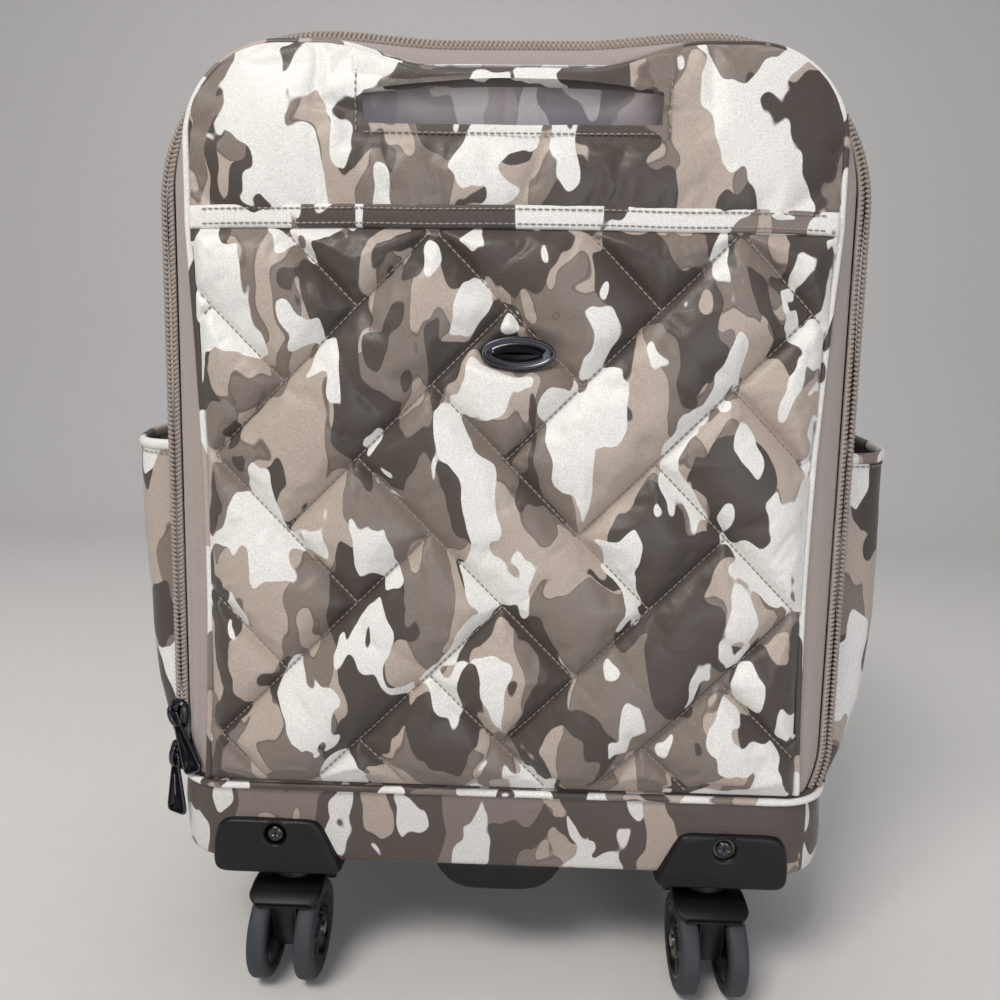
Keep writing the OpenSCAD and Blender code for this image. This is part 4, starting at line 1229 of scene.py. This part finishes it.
def makeTrolley():
    # mouth plate lying on the top, with a raised collar round each tube
    low, high = boxMm("trolley_bezel")
    tubeY = (low[1] + high[1]) / 2
    plan = roundPoly([[-96, tubeY - 14], [96, tubeY - 14], [96, tubeY + 14], [-96, tubeY + 14]], 9, 88)
    plate = slab(plan, [(1.0, high[2] - 7.0), (0.0, high[2] - 4.6), (0.0, high[2] - 3.2), (0.5, high[2] - 2.4),
                        (1.6, high[2] - 2.0)])
    parts = [outwards(closedTube(plate))]
    mouth = ((1.2, -2.6), (0.5, -1.2), (0.2, -0.4), (-0.4, -0.05), (-1.6, 0.0), (-2.2, -0.3), (-2.5, -1.2),
             (-2.5, -2.6))
    for side in (-1, 1):
        rings = tubeRings(mouth, 10.4, 4.5, side, tubeY, high[2])
        parts.append(outwards((rings.reshape(-1, 3), gridFaces(8, rings.shape[1], wrapCols=True))))
    points, faces = joined(*parts)
    makePiece("trolleyMouth", points, faces, "shell", "moulded_black", mouldedBlack, replaced="trolley_bezel")
    # grip: a rounded bar, fuller in the middle, with two sockets down over the tubes
    gripLow, gripHigh = boxMm("trolley_grip")
    x = np.concatenate([[-82, -81.4, -80], np.linspace(-77, 77, 60), [80, 81.4, 82]])
    end = np.clip((82.6 - np.abs(x)) / 5, 0, 1) ** 0.45
    loop = roundedRing(11.0, 7.0, 4.6, 6)
    middle = gripHigh[2] - 7.0
    waist = 1 - 0.06 * (1 - np.clip(np.abs(x) / 60, 0, 1) ** 2)
    bar = combine(x[:, None], tubeY + loop[None, :, 0] * (end * waist)[:, None],
                  middle + loop[None, :, 1] * end[:, None])
    parts = [outwards(closedTube(bar))]
    for side in (-1, 1):
        socket = ((-1.2, 0.0), (-0.3, 0.7), (0.0, 2.0), (0.0, 14.0), (-1.0, 18.0))
        parts.append(outwards(closedTube(tubeRings(socket, 10.6, 4.0, side, tubeY, gripLow[2]))))
    points, faces = joined(*parts)
    makePiece("trolleyGrip", points, faces, "trolley_handle", "moulded_black", mouldedBlack,
              replaced="trolley_grip")
    buttonLow, buttonHigh = boxMm("trolley_button")
    plan = roundPoly([[-16, tubeY - 6.5], [16, tubeY - 6.5], [16, tubeY + 6.5], [-16, tubeY + 6.5]], 5, 56)
    top = buttonHigh[2]
    cap = slab(plan, [(0.2, buttonLow[2]), (0.0, top - 1.6), (0.3, top - 0.7), (1.0, top - 0.2), (2.2, top),
                      (4.5, top - 0.25)])
    makePiece("trolleyButton", *outwards(closedTube(cap)), "trolley_button", "black_nickel", smoothBlack,
              replaced="trolley_button")


makeBadge()
makeTrolley()


def dress(node, material):
    # a frame node that keeps its shape gets its finish
    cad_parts[node].data.materials.clear()
    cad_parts[node].data.materials.append(material)


for node in ("trolley_outer_tubes", "trolley_mid_tubes", "trolley_inner_tubes"):
    dress(node, anodised)
for node in ("caster_kingpins", "caster_washers", "axle_fl", "axle_fr", "axle_rl", "axle_rr"):
    dress(node, zincSteel)
dress("base_pan", mouldedBlack)
print("sliders, badge and handle made")


light = {"key": 36.0, "fill": 9.0, "above": 6.0, "world": 0.34}        # watts, and the room's own strength


def makeStage():
    # pale floor that curves up into a plain wall behind
    y = np.concatenate([np.linspace(-2.5, 1.4, 24), 1.4 + 0.6 * np.sin(np.linspace(0.1, math.pi / 2, 16)),
                        np.full(10, 2.0)])
    z = np.concatenate([np.zeros(24), 0.6 - 0.6 * np.cos(np.linspace(0.1, math.pi / 2, 16)),
                        np.linspace(0.7, 3.4, 10)])
    x = np.linspace(-4, 4, 20)
    gx, gy = np.meshgrid(x, y)
    gz = np.broadcast_to(z[:, None], gx.shape)
    mesh = bpy.data.meshes.new("floor")
    mesh.from_pydata(combine(gx, gy, gz).reshape(-1, 3).tolist(), [], gridFaces(len(y), 20).tolist())
    mesh.polygons.foreach_set("use_smooth", np.ones(len(mesh.polygons), bool))
    floor = bpy.data.objects.new("floor", mesh)
    bpy.context.scene.collection.objects.link(floor)
    mesh.materials.append(plainStuff("matPaper", "#dcdad8", 0.85, vary=0.01))


def makeLight(name, place, aim, size, power, colour):
    # a rectangular softbox turned to face a point; places in metres
    data = bpy.data.lights.new(name, "AREA")
    data.shape = "RECTANGLE"
    data.size, data.size_y = size
    data.energy = power
    data.color = toLinear(colour)[:3]
    lamp = bpy.data.objects.new(name, data)
    bpy.context.scene.collection.objects.link(lamp)
    ahead = unit(np.array(aim, float) - np.array(place, float))
    side = unit(np.cross(ahead, [0.0, 0.0, 1.0]))
    turn = Matrix([list(r) for r in np.stack([side, np.cross(side, ahead), -ahead], 1)]).to_4x4()
    lamp.matrix_world = Matrix.Translation(place) @ turn


makeStage()
makeLight("key", (-0.75, -1.35, 2.0), (0, 0, 0.25), (0.9, 0.7), light["key"], "#fffaf4")
makeLight("fill", (0.5, -1.7, 0.35), (0, 0, 0.25), (0.8, 0.8), light["fill"], "#f4f6ff")
makeLight("above", (0.2, 0.6, 2.2), (0, 0, 0.3), (1.6, 1.2), light["above"], "#ffffff")
world = bpy.data.worlds.new("studio")
world.use_nodes = True
world.node_tree.nodes["Background"].inputs[0].default_value = toLinear("#e8ebf0")
world.node_tree.nodes["Background"].inputs[1].default_value = light["world"]
bpy.context.scene.world = world
bpy.context.scene.view_settings.view_transform = "Standard"
